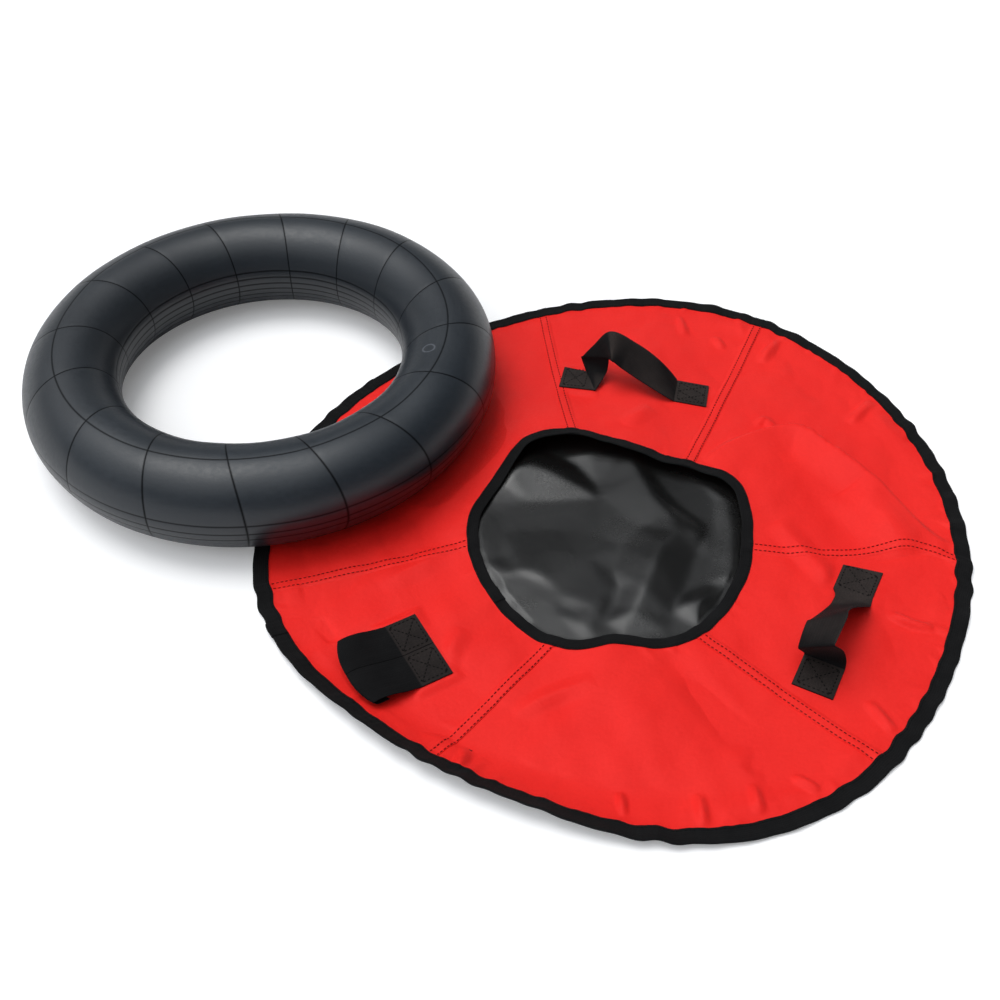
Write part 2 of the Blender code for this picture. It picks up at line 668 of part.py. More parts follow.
def make_valve(tube_holder, tube):
    azimuth, dip = radians(VALVE_AZIMUTH), radians(VALVE_DIP)
    outward = Vector((cos(azimuth), sin(azimuth), 0))
    axis = -outward * cos(dip) + Vector((0, 0, sin(dip)))
    root = outward * TUBE_RING_RADIUS + axis * TUBE_RADIUS
    turn = axis.to_track_quat("Z", "X").to_matrix().to_4x4()
    holder = make_empty("valve_holder", Matrix.Translation(root) @ turn, tube_holder)

    bore = STEM_ROOT_RADIUS + CLEARANCE
    below = -2 * STEM_INSIDE
    cut(tube, make_turned("valve_bore", ((bore, VALVE_LENGTH), (bore, below), (0, below), (0, VALVE_LENGTH)),
                          None, holder, cutters))

    pad = make_turned("valve_pad", ((PAD_TOP_RADIUS, PAD_HEIGHT), (PAD_RADIUS, 0), (PAD_RADIUS, -PAD_SKIRT),
                                    (bore, -PAD_SKIRT), (bore, PAD_HEIGHT)), VALVE_RUBBER, holder)
    cut(pad, make_torus("tube_skin", TUBE_RADIUS + CLEARANCE, TUBE_SEGMENTS, TUBE_SIDES, parent=tube_holder))

    shoulder = VALVE_LENGTH - STEM_TIP_LENGTH
    make_turned("valve_stem", ((STEM_TIP_RADIUS, VALVE_LENGTH), (STEM_TIP_RADIUS, shoulder),
                               (STEM_SHOULDER_RADIUS, shoulder - STEM_SHOULDER_STEP), (STEM_ROOT_RADIUS, 0),
                               (STEM_ROOT_RADIUS, -STEM_INSIDE), (STEM_BORE_RADIUS, -STEM_INSIDE),
                               (STEM_BORE_RADIUS, VALVE_LENGTH)), VALVE_RUBBER, holder)

    core_top = VALVE_LENGTH - CORE_SINK
    core_bottom = core_top - CORE_LENGTH
    core_radius = STEM_BORE_RADIUS - CLEARANCE
    neck = core_top - CORE_NECK_LENGTH
    make_turned("valve_core", ((core_radius, core_top), (core_radius, core_bottom), (CORE_BORE_RADIUS, core_bottom),
                               (CORE_BORE_RADIUS, neck), (CORE_NECK_RADIUS, neck), (CORE_NECK_RADIUS, core_top)),
                BRASS, holder)

    pin_top = VALVE_LENGTH + PIN_PROUD
    disc_top = core_bottom - CLEARANCE
    disc_bottom = disc_top - PIN_DISC_HEIGHT
    make_turned("valve_pin", ((0, pin_top), (PIN_RADIUS, pin_top), (PIN_RADIUS, disc_top), (PIN_DISC_RADIUS, disc_top),
                              (PIN_DISC_RADIUS, disc_bottom), (0, disc_bottom)), STEEL, holder)

    make_spring(holder, core_bottom + SPRING_END_GAP, neck - SPRING_END_GAP)

    seal_bottom = VALVE_LENGTH + CLEARANCE
    seal_top = seal_bottom + SEAL_THICKNESS
    make_turned("cap_seal", ((SEAL_RADIUS, seal_top), (SEAL_RADIUS, seal_bottom), (SEAL_BORE_RADIUS, seal_bottom),
                             (SEAL_BORE_RADIUS, seal_top)), VALVE_RUBBER, holder)
    make_cap(holder, seal_top + CLEARANCE)
    return holder


def make_spring(holder, bottom, top):
    curve = bpy.data.curves.new("valve_spring", "CURVE")
    curve.dimensions = "3D"
    curve.bevel_depth = SPRING_WIRE_RADIUS
    curve.bevel_resolution = 0
    curve.use_fill_caps = True
    spline = curve.splines.new("POLY")
    count = SPRING_TURNS * SPRING_POINTS + 1
    spline.points.add(count - 1)
    for index, point in enumerate(spline.points):
        angle = tau * index / SPRING_POINTS
        rise = bottom + (top - bottom) * index / (count - 1)
        point.co = (SPRING_RADIUS * cos(angle), SPRING_RADIUS * sin(angle), rise, 1)
    spring = bpy.data.objects.new("valve_spring", curve)
    parts.objects.link(spring)
    curve.materials.append(STEEL)
    spring.parent = holder


def make_cap(holder, ceiling):
    bm = bmesh.new()
    height = CAP_DEPTH + CAP_TOP
    bmesh.ops.create_cone(bm, cap_ends=True, segments=CAP_SIDES, radius1=CAP_RADIUS, radius2=CAP_RADIUS, depth=height)
    for vert in bm.verts:
        side = round(vert.co.xy.angle_signed(Vector((1, 0))) / tau * CAP_SIDES)
        if side % 2:
            vert.co.xy *= (CAP_RADIUS - CAP_FLUTE) / CAP_RADIUS
        vert.co.z += ceiling + CAP_TOP - height / 2
    cap = add_object("valve_cap", finish_bmesh(bm, "valve_cap"), CAP_PLASTIC, parent=holder)
    mouth = STEM_TIP_RADIUS + CLEARANCE
    bottom = ceiling - CAP_DEPTH
    cut(cap, make_turned("cap_mouth", ((mouth, ceiling), (mouth, bottom - CAP_TOP), (0, bottom - CAP_TOP),
                                       (0, ceiling)), None, holder, cutters))


panels = [make_panel(index, name) for index, name in enumerate(PANEL_NAMES)]
make_base("slide_base")
make_edge_binding()
make_opening_binding()
seat = Seat(panels)
handle_roots = {name: make_handle(name, seat) for name in HANDLES}
tow_hinge, tow_axis = make_tow_strap(seat)
tube_holder, inner_tube = make_inner_tube()
valve_holder = make_valve(tube_holder, inner_tube)

bpy.context.view_layer.update()
print("tube tilt, degrees:", round(TUBE_TILT * 360 / tau, 3))
for name, roots in handle_roots.items():
    print(name, "hinge from", [round(value, 5) for value in roots[0]], "to", [round(value, 5) for value in roots[1]])
print("tow hinge at", [round(value, 5) for value in tow_hinge], "axis", [round(value, 5) for value in tow_axis])
valve_axis = valve_holder.matrix_world.to_3x3() @ Vector((0, 0, 1))
print("valve root", [round(value, 5) for value in valve_holder.matrix_world.translation],
      "axis", [round(value, 5) for value in valve_axis])
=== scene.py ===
import math

import bmesh
import bpy
import numpy as np
from mathutils import Matrix, Vector
from mathutils.geometry import delaunay_2d_cdt


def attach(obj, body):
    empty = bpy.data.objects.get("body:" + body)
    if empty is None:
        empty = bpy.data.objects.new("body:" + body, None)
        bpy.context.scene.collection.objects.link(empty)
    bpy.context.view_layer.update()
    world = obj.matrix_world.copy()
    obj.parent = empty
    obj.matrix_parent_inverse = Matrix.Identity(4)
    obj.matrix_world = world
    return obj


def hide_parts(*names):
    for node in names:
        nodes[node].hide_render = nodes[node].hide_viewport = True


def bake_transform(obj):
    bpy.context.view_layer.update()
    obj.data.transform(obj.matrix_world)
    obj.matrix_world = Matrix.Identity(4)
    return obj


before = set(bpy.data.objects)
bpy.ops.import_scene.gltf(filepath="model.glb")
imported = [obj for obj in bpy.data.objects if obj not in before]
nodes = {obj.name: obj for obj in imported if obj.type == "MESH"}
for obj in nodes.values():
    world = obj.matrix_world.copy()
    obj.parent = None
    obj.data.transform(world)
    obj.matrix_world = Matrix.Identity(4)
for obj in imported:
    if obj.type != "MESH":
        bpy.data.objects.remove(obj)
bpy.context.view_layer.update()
scene = bpy.context.scene
print("frame loaded, nodes:", len(nodes))


# Camera, lamps and floor

# Places and sizes in metres, the pitch in radians, the lens in millimetres and the spreads in degrees
view = {"place": (-0.1458, -1.1410, 1.1875), "pitch": 0.79357, "lens": 46.8, "sensor": 36}
sun = {"from": (-0.62, 0.42, 2.2), "spread": 34, "strength": 1.16, "colour": (1.0, 0.99, 0.97)}
frontFill = {"from": (-0.95, -1.10, 0.62), "spread": 80, "strength": 0.98, "colour": (0.97, 0.98, 1.0)}
surround = {
    "world": (0.06, 1.55), "colour": (0.94, 0.97, 1.0), "glowFrom": (-0.30, 0.05, 0.95),
    "glowSpan": (0.52, 1.0), "seenWhite": 1.07, "floorSize": 15.0, "floorDrop": 0.0003,
    "floorColour": (0.93, 0.93, 0.94), "floorRough": 0.9, "floorShine": 0.1, "floorLift": 0.15,
    "backdropRadius": 7.0, "backdropHeight": 1.3, "backdropSides": 96, "backdropSink": 0.01,
}


def addCamera():
    made = bpy.data.objects.new("photo_camera", bpy.data.cameras.new("photo_camera"))
    scene.collection.objects.link(made)
    made.data.sensor_width = view["sensor"]
    made.data.lens = view["lens"]
    made.location = view["place"]
    made.rotation_euler = (math.pi / 2 - view["pitch"], 0, 0)
    scene.camera = made


def addSun(name, lamp):
    data = bpy.data.lights.new(name, "SUN")
    data.angle = math.radians(lamp["spread"])
    data.energy = lamp["strength"]
    data.color = lamp["colour"]
    made = bpy.data.objects.new(name, data)
    scene.collection.objects.link(made)
    made.location = lamp["from"]
    made.rotation_euler = Vector(lamp["from"]).to_track_quat("Z", "Y").to_euler()


def addNode(tree, kind, values=None, **settings):
    # A shader node with its settings, and each input given a value or joined to a socket
    made = tree.nodes.new(kind)
    for key, value in settings.items():
        setattr(made, key, value)
    for key, value in (values or {}).items():
        if isinstance(value, bpy.types.NodeSocket):
            tree.links.new(value, made.inputs[key])
        else:
            made.inputs[key].default_value = value
    return made


def maths(tree, operation, first, second=0.0):
    return addNode(tree, "ShaderNodeMath", {0: first, 1: second}, operation=operation).outputs[0]


def ranged(tree, value, low, high, fromLow=0.0, fromHigh=1.0, **settings):
    values = {"Value": value, "From Min": fromLow, "From Max": fromHigh, "To Min": low, "To Max": high}
    return addNode(tree, "ShaderNodeMapRange", values, **settings).outputs[0]


def seenOnly(tree, strength):
    # A strength that only the camera's own rays meet
    return maths(tree, "MULTIPLY", addNode(tree, "ShaderNodeLightPath").outputs["Is Camera Ray"], strength)


addCamera()
addSun("soft_sun", sun)
addSun("front_fill", frontFill)
bpy.data.objects["front_fill"].visible_glossy = False
scene.view_settings.view_transform = "Standard"

world = bpy.data.worlds.new("studio")
world.use_nodes = True
scene.world = world
worldTree = world.node_tree
worldShader = worldTree.nodes["Background"]
worldShader.inputs["Color"].default_value = (*surround["colour"], 1)
# A broad glow from above lights the object, and what the camera sees past the floor is white
skyPlace = addNode(worldTree, "ShaderNodeTexCoord").outputs["Generated"]
glowMiddle = Vector(surround["glowFrom"]).normalized()
towards = addNode(worldTree, "ShaderNodeVectorMath", {0: skyPlace, 1: glowMiddle}, operation="DOT_PRODUCT")
glow = ranged(worldTree, towards.outputs["Value"], *surround["world"], *surround["glowSpan"],
              interpolation_type="SMOOTHSTEP")
worldTree.links.new(maths(worldTree, "MAXIMUM", glow, seenOnly(worldTree, surround["seenWhite"])),
                    worldShader.inputs["Strength"])

bpy.ops.mesh.primitive_plane_add(size=surround["floorSize"], location=(0, 0, -surround["floorDrop"]))
floor = bpy.context.object
floor.name = "studio_floor"
floorPaint = bpy.data.materials.new("floor_paint")
floorPaint.use_nodes = True
floorTree = floorPaint.node_tree
floorShader = floorTree.nodes["Principled BSDF"]
floorShader.inputs["Base Color"].default_value = (*surround["floorColour"], 1)
floorShader.inputs["Roughness"].default_value = surround["floorRough"]
floorShader.inputs["Specular IOR Level"].default_value = surround["floorShine"]
floorTree.links.new(seenOnly(floorTree, surround["floorLift"]), floorShader.inputs["Emission Strength"])
floorShader.inputs["Emission Color"].default_value = (1, 1, 1, 1)
floor.data.materials.append(floorPaint)

# A white ring far round the object, which only camera and mirrored rays meet
ringMiddle = surround["backdropHeight"] / 2 - surround["backdropSink"]
bpy.ops.mesh.primitive_cylinder_add(vertices=surround["backdropSides"], radius=surround["backdropRadius"],
                                    depth=surround["backdropHeight"], end_fill_type="NOTHING",
                                    location=(0, 0, ringMiddle))
backdrop = bpy.context.object
backdrop.name = "studio_backdrop"
backdrop.visible_diffuse = False
backdrop.visible_shadow = False
backdropPaint = bpy.data.materials.new("backdrop_white")
backdropPaint.use_nodes = True
backdropTree = backdropPaint.node_tree
backdropTree.nodes.clear()
white = addNode(backdropTree, "ShaderNodeEmission", {"Strength": 1.0})
addNode(backdropTree, "ShaderNodeOutputMaterial", {"Surface": white.outputs[0]})
backdrop.data.materials.append(backdropPaint)
print("camera, sun and backdrop placed")


# Effects shared by several materials

def startGroup(name, inputs, outputs):
    # A group that reads a place on the surface and some numbers, and puts out numbers
    tree = bpy.data.node_groups.new(name, "ShaderNodeTree")
    tree.interface.new_socket(name="Vector", in_out="INPUT", socket_type="NodeSocketVector")
    for label, value in inputs.items():
        made = tree.interface.new_socket(name=label, in_out="INPUT", socket_type="NodeSocketFloat")
        made.default_value = value
    for label in outputs:
        tree.interface.new_socket(name=label, in_out="OUTPUT", socket_type="NodeSocketFloat")
    return tree, tree.nodes.new("NodeGroupInput").outputs, tree.nodes.new("NodeGroupOutput").inputs


def buildWeave():
    # Threads over and under: a height, and a painted shade that is darker between the threads
    tree, given, out = startGroup("plain_weave", {"Threads": 900}, ("Height", "Shade"))
    scaled = addNode(tree, "ShaderNodeVectorMath", {0: given["Vector"], "Scale": given["Threads"]},
                     operation="SCALE").outputs[0]
    split = addNode(tree, "ShaderNodeSeparateXYZ", {0: scaled})
    humps = []
    for side in (0, 1):
        turned = maths(tree, "MULTIPLY", split.outputs[side], math.pi)
        humps.append(maths(tree, "ABSOLUTE", maths(tree, "SINE", turned)))
    checks = addNode(tree, "ShaderNodeTexChecker", {"Vector": scaled, "Scale": 1.0}).outputs["Fac"]
    over = maths(tree, "MULTIPLY", humps[0], checks)
    under = maths(tree, "MULTIPLY", humps[1], maths(tree, "SUBTRACT", 1.0, checks))
    height = maths(tree, "ADD", over, under)
    tree.links.new(height, out["Height"])
    tree.links.new(maths(tree, "POWER", height, 0.6), out["Shade"])
    return tree


def buildRibs():
    # Webbing and tape: fine ribs across, slanted threads between them
    tree, given, out = startGroup("ribbed_webbing", {"Ribs": 700}, ("Height", "Shade"))
    split = addNode(tree, "ShaderNodeSeparateXYZ", {0: given["Vector"]})
    along = maths(tree, "MULTIPLY", split.outputs[0], given["Ribs"])
    across = maths(tree, "MULTIPLY", split.outputs[1], given["Ribs"])
    slant = maths(tree, "PINGPONG", maths(tree, "MULTIPLY", across, 0.35), 1.0)
    slanted = maths(tree, "MULTIPLY", maths(tree, "ADD", along, slant), math.pi)
    rib = maths(tree, "ABSOLUTE", maths(tree, "SINE", slanted))
    rows = maths(tree, "ABSOLUTE", maths(tree, "SINE", maths(tree, "MULTIPLY", across, math.pi * 0.5)))
    height = maths(tree, "MULTIPLY", rib, maths(tree, "MULTIPLY_ADD", rows, 0.5))
    tree.links.new(height, out["Height"])
    tree.links.new(maths(tree, "POWER", height, 0.5), out["Shade"])
    return tree


def buildMottle():
    # Slow uneven shade over a surface: a broad part and a fine part, each from 0 to 1
    tree, given, out = startGroup("uneven_shade", {"Broad": 9, "Fine": 140}, ("Broad", "Fine"))
    for label, detail, rough in (("Broad", 4.0, 0.55), ("Fine", 3.0, 0.6)):
        texture = addNode(tree, "ShaderNodeTexNoise", {"Vector": given["Vector"], "Scale": given[label],
                                                       "Detail": detail, "Roughness": rough})
        tree.links.new(ranged(tree, texture.outputs[0], 0.0, 1.0, 0.3, 0.7), out[label])
    return tree


def buildCrinkle():
    # Small soft folds of handled cloth, as a height
    tree, given, out = startGroup("handled_cloth", {"Size": 22}, ("Height",))
    bent = addNode(tree, "ShaderNodeTexNoise", {"Vector": given["Vector"], "Scale": given["Size"],
                                                "Detail": 2.0, "Roughness": 0.5, "Distortion": 0.6})
    ridge = maths(tree, "ABSOLUTE", maths(tree, "SUBTRACT", bent.outputs[0], 0.5))
    tree.links.new(maths(tree, "SUBTRACT", 1.0, maths(tree, "MULTIPLY", ridge, 4.0)), out["Height"])
    return tree


weaveGroup = buildWeave()
ribGroup = buildRibs()
mottleGroup = buildMottle()
crinkleGroup = buildCrinkle()


# Materials

def startMaterial(name):
    material = bpy.data.materials.new(name)
    material.use_nodes = True
    tree = material.node_tree
    return material, tree, tree.nodes["Principled BSDF"]


def placeGroup(tree, group, **values):
    return addNode(tree, "ShaderNodeGroup", values, node_tree=group).outputs


def between(tree, share, first, second):
    # A colour between two, by a mask
    first, second = (end if isinstance(end, bpy.types.NodeSocket) else (*end, 1) for end in (first, second))
    return addNode(tree, "ShaderNodeMix", {0: share, 6: first, 7: second}, data_type="RGBA").outputs[2]


def addBump(tree, shader, bumps, *heights):
    # Each height goes with a depth in metres and a strength
    normal = None
    for (depth, strength), height in zip(bumps, heights):
        values = {"Height": height, "Distance": depth, "Strength": strength}
        if normal:
            values["Normal"] = normal
        normal = addNode(tree, "ShaderNodeBump", values).outputs[0]
    tree.links.new(normal, shader.inputs["Normal"])


# Broad and fine are scales of slow and of small unevenness, and a least value is how weak a pattern gets
# The gap shade is a painted shade that darkens the red cloth between its threads
redCloth = {
    "colour": (0.83, 0.0108, 0.0075), "gapShade": (0.57, 0.005, 0.0045), "faded": (0.89, 0.0170, 0.0115),
    "rough": (0.50, 0.62), "shine": 0.22, "sheen": 0.03, "sheenRough": 0.5,
    "threads": 950, "broad": 7.0, "fine": 260.0, "creases": 16.0, "gapShadeStrength": 0.55, "leastFine": 0.35,
    "bumps": ((0.0010, 0.35), (0.0003, 0.4), (0.0002, 0.5)),
}
baseCloth = {
    "colour": (0.0030, 0.0030, 0.0030), "worn": (0.0070, 0.0068, 0.0064), "rough": (0.21, 0.31),
    "shine": 0.56, "threads": 620, "broad": 11.0, "fine": 420.0, "creases": 26.0, "leastFine": 0.6,
    "bumps": ((0.0003, 0.3), (0.00014, 0.6), (0.00006, 0.8)),
}
tapeCloth = {
    "colour": (0.0045, 0.0045, 0.005), "worn": (0.013, 0.013, 0.0135), "rough": (0.74, 0.90), "ribs": 820,
    "shine": 0.07, "sheen": 0.02, "broad": 30.0, "fine": 500.0, "leastWorn": 0.25,
    "bumps": ((0.0004, 0.4), (0.0003, 0.8)),
}
# The up tone is a lighter, browner colour that the strap takes where it lies flat and faces up
strapCloth = {
    "colour": (0.0035, 0.0035, 0.004), "worn": (0.010, 0.010, 0.0105), "upTone": (0.046, 0.036, 0.033),
    "rough": (0.66, 0.84), "ribs": 560, "shine": 0.06, "sheen": 0.02, "broad": 30.0, "fine": 500.0,
    "leastWorn": 0.25, "leastUpTone": (0.45, 0.55), "upToneFacing": (0.74, 0.97), "sewnEnd": (0.038, 0.040),
    "sewnUpTone": 0.62, "bumps": ((0.0004, 0.4), (0.0003, 0.8)),
}
# The line colour is a painted shade: the mould lines' shallow grooves are painted near black
tubeRubber = {
    "colour": (0.0080, 0.0122, 0.0172), "upTone": (0.0170, 0.0250, 0.0350), "brown": (0.022, 0.021, 0.022),
    "line": (0.0008, 0.0008, 0.001), "rough": (0.33, 0.46), "shine": (0.5, 0.03), "broad": 6.0, "fine": 190.0,
    "bloom": (2.6, 55.0), "browned": 0.35, "dustFacing": (-0.2, 1.0), "leastDust": 0.35, "roughFull": 1.6,
    "stamp": (0.10, 0.11, 0.13), "stampAt": (-0.237, 0.175, 0.126), "stampRadius": 0.0085,
    "stampLine": (0.0004, 0.0014), "stampShare": 0.7, "bumps": ((0.0006, 0.25), (0.00012, 0.4)),
}
# What the small pieces and threads share, unless their own row says otherwise
plainFinish = {"metallic": 0.0, "shine": 0.5, "broad": 120.0, "fine": 900.0, "depth": 0.0001, "strength": 0.5}
threadFinish = {"rough": (0.6, 0.85), "fine": 3000.0, "shine": 0.05}
smallFinishes = {
    "valve_rubber": ("valve_rubber", {"colour": (0.016, 0.017, 0.019), "worn": (0.034, 0.035, 0.038),
                                      "rough": (0.5, 0.7), "depth": 0.0002}),
    "brass": ("valve_brass", {"colour": (0.72, 0.52, 0.24), "worn": (0.50, 0.36, 0.18), "rough": (0.24, 0.42),
                              "metallic": 1.0}),
    "steel": ("pin_steel", {"colour": (0.60, 0.60, 0.59), "worn": (0.44, 0.44, 0.44), "rough": (0.22, 0.38),
                            "metallic": 1.0}),
    "cap_plastic": ("cap_plastic", {"colour": (0.018, 0.018, 0.019), "worn": (0.030, 0.030, 0.032),
                                    "rough": (0.34, 0.52)}),
    "red_thread": ("seam_thread", {"colour": (0.070, 0.003, 0.003), "worn": (0.14, 0.005, 0.005),
                                   **threadFinish}),
    "black_thread": ("strap_thread", {"colour": (0.002, 0.002, 0.002), "worn": (0.005, 0.005, 0.005),
                                      **threadFinish}),
}


def placeMottle(tree, place, broad, fine):
    return placeGroup(tree, mottleGroup, Vector=place, Broad=broad, Fine=fine)


def upwards(tree, normalName):
    # How far the surface faces up, from -1 to 1
    normal = addNode(tree, "ShaderNodeNewGeometry").outputs[normalName]
    return addNode(tree, "ShaderNodeSeparateXYZ", {0: normal}).outputs[2]


def startCloth(name, finish):
    # A cloth follows its own map, with its weave, unevenness and creases on it
    material, tree, shader = startMaterial(name)
    uv = addNode(tree, "ShaderNodeUVMap", uv_map="cloth").outputs[0]
    weave = placeGroup(tree, weaveGroup, Vector=uv, Threads=finish["threads"])
    mottle = placeMottle(tree, uv, finish["broad"], finish["fine"])
    crinkle = placeGroup(tree, crinkleGroup, Vector=uv, Size=finish["creases"])
    shader.inputs["Specular IOR Level"].default_value = finish["shine"]
    addBump(tree, shader, finish["bumps"], crinkle["Height"], mottle["Fine"], weave["Height"])
    return material, tree, shader, weave, mottle


def makeRedCloth(name, finish):
    material, tree, shader, weave, mottle = startCloth(name, finish)
    slow = between(tree, mottle["Broad"], finish["colour"], finish["faded"])
    # Painted shade between the threads: the red turns deeper where the weave dips
    shade = maths(tree, "MULTIPLY", ranged(tree, weave["Shade"], finish["gapShadeStrength"], 0.0),
                  ranged(tree, mottle["Fine"], finish["leastFine"], 1.0))
    tree.links.new(between(tree, shade, slow, finish["gapShade"]), shader.inputs["Base Color"])
    tree.links.new(ranged(tree, mottle["Fine"], *finish["rough"]), shader.inputs["Roughness"])
    shader.inputs["Sheen Weight"].default_value = finish["sheen"]
    shader.inputs["Sheen Roughness"].default_value = finish["sheenRough"]
    return material


def makeBaseCloth(name, finish):
    material, tree, shader, weave, mottle = startCloth(name, finish)
    scuffed = maths(tree, "MULTIPLY", mottle["Broad"], weave["Height"])
    tree.links.new(between(tree, scuffed, finish["colour"], finish["worn"]), shader.inputs["Base Color"])
    rough = maths(tree, "MULTIPLY", mottle["Broad"], ranged(tree, mottle["Fine"], finish["leastFine"], 1.0))
    tree.links.new(ranged(tree, rough, *finish["rough"]), shader.inputs["Roughness"])
    return material


def makeRibbed(name, finish, upTone=False, sewn=False):
    material, tree, shader = startMaterial(name)
    uv = addNode(tree, "ShaderNodeUVMap", uv_map="cloth").outputs[0]
    ribs = placeGroup(tree, ribGroup, Vector=uv, Ribs=finish["ribs"])
    mottle = placeMottle(tree, uv, finish["broad"], finish["fine"])
    worn = maths(tree, "MULTIPLY", ribs["Height"], ranged(tree, mottle["Broad"], finish["leastWorn"], 1.0))
    colour = between(tree, worn, finish["colour"], finish["worn"])
    if upTone:
        # Lighter, browner colour on what lies flat and faces up, in patches
        patches = maths(tree, "MULTIPLY", ranged(tree, mottle["Fine"], finish["leastUpTone"][0], 1.0),
                        ranged(tree, mottle["Broad"], finish["leastUpTone"][1], 1.0))
        flat = ranged(tree, upwards(tree, "True Normal"), 0.0, 1.0, *finish["upToneFacing"])
        upToneShare = maths(tree, "MULTIPLY", flat, patches)
        if sewn:
            # And only on the sewn ends, whose length the map gives
            along = addNode(tree, "ShaderNodeSeparateXYZ", {0: uv}).outputs[0]
            onEnd = ranged(tree, along, finish["sewnUpTone"], 0.0, *finish["sewnEnd"])
            upToneShare = maths(tree, "MULTIPLY", upToneShare, onEnd)
        colour = between(tree, upToneShare, colour, finish["upTone"])
    tree.links.new(colour, shader.inputs["Base Color"])
    tree.links.new(ranged(tree, mottle["Fine"], *finish["rough"]), shader.inputs["Roughness"])
    shader.inputs["Sheen Weight"].default_value = finish["sheen"]
    shader.inputs["Specular IOR Level"].default_value = finish["shine"]
    addBump(tree, shader, finish["bumps"], mottle["Broad"], ribs["Height"])
    return material


def makeTubeRubber(name, finish):
    material, tree, shader = startMaterial(name)
    place = addNode(tree, "ShaderNodeTexCoord").outputs["Object"]
    mottle = placeMottle(tree, place, finish["broad"], finish["fine"])
    bloom = placeMottle(tree, place, *finish["bloom"])
    mould = addNode(tree, "ShaderNodeAttribute", attribute_name="mould").outputs["Fac"]
    # Dust lies on top, in patches
    patches = maths(tree, "MULTIPLY", mottle["Broad"], mottle["Fine"])
    dust = maths(tree, "MULTIPLY", ranged(tree, upwards(tree, "Normal"), 0.0, 1.0, *finish["dustFacing"]),
                 ranged(tree, patches, finish["leastDust"], 1.0))
    plain = between(tree, dust, finish["colour"], finish["upTone"])
    brown = maths(tree, "MULTIPLY", bloom["Broad"], finish["browned"])
    browned = between(tree, brown, plain, finish["brown"])
    # A small pale ring, by its distance from its middle
    gone = addNode(tree, "ShaderNodeVectorMath", {0: place, 1: finish["stampAt"]}, operation="DISTANCE")
    ringed = maths(tree, "ABSOLUTE", maths(tree, "SUBTRACT", gone.outputs["Value"], finish["stampRadius"]))
    printed = ranged(tree, ringed, finish["stampShare"], 0.0, *finish["stampLine"])
    stamped = between(tree, printed, browned, finish["stamp"])
    # Painted shade of the mould lines' shallow grooves: near black colour along them
    tree.links.new(between(tree, mould, stamped, finish["line"]), shader.inputs["Base Color"])
    rough = ranged(tree, maths(tree, "ADD", mottle["Fine"], dust), *finish["rough"], 0.0, finish["roughFull"])
    tree.links.new(rough, shader.inputs["Roughness"])
    # The same painted shade lowers their shine
    tree.links.new(ranged(tree, mould, *finish["shine"]), shader.inputs["Specular IOR Level"])
    addBump(tree, shader, finish["bumps"], bloom["Broad"], mottle["Fine"])
    return material


def makeSimple(name, values):
    # Turned and moulded bits and thread: slow wear, fine grain
    finish = {**plainFinish, **values}
    material, tree, shader = startMaterial(name)
    place = addNode(tree, "ShaderNodeTexCoord").outputs["Object"]
    mottle = placeMottle(tree, place, finish["broad"], finish["fine"])
    colour = between(tree, mottle["Broad"], finish["colour"], finish["worn"])
    tree.links.new(colour, shader.inputs["Base Color"])
    tree.links.new(ranged(tree, mottle["Fine"], *finish["rough"]), shader.inputs["Roughness"])
    shader.inputs["Metallic"].default_value = finish["metallic"]
    shader.inputs["Specular IOR Level"].default_value = finish["shine"]
    addBump(tree, shader, ((finish["depth"], finish["strength"]),), mottle["Fine"])
    return material


finishes = {
    "red_cloth": makeRedCloth("red_cover_cloth", redCloth),
    "tarpaulin": makeBaseCloth("coated_base_cloth", baseCloth),
    "black_tape": makeRibbed("edge_tape", tapeCloth),
    "black_webbing": makeRibbed("tow_webbing", strapCloth, upTone=True, sewn=True),
    "handle_webbing_finish": makeRibbed("handle_webbing", strapCloth, upTone=True),
    "tube_rubber": makeTubeRubber("dusty_tube_rubber", tubeRubber),
}
finishes.update({slot: makeSimple(name, values) for slot, (name, values) in smallFinishes.items()})
print("materials made:", len(finishes))


# The sewn cover's plan: outline, opening, seams and rises, as it was cut

# Thicknesses in metres, the air left between two layers, and the hair's breadth that keeps faces apart
gauge = {"base": 0.0010, "top": 0.0008, "tape": 0.0007, "web": 0.0020, "air": 0.0003, "hair": 0.0001}
# Degrees run from +X towards +Y round each edge's own middle, and shares go round in even steps from there
cover = {
    "radius": 0.450, "tapeWidth": 0.0190, "tapeColumns": 1500, "tapePucker": 0.00022,
    "lapDegrees": (203.6, 206.4), "curlWidth": 0.057, "curlRise": 0.023,
    "radiusShares": (0.972, 0.982, 0.998, 1.020, 1.036, 1.024, 0.988, 0.952, 0.931, 0.922, 0.939, 0.964,
                     0.991, 1.016, 1.009, 0.987, 0.984, 0.998, 1.036, 1.056, 1.044, 1.009, 0.981, 0.973),
    "curlShares": (0, 0, 0, 0, 0, 0, 0, 0, 0, 0, 0, 0, 0, 0, 0.30, 0.85, 1, 0.95, 0.45, 0.10, 0, 0, 0, 0),
    "seamDegrees": (59.7, 100.5, 197.1, 238.0, 306.4, 347.6),
    "ripple": 0.0012, "flutter": 0.0032, "flutterWidth": 0.060, "foldGain": 1.80,
}
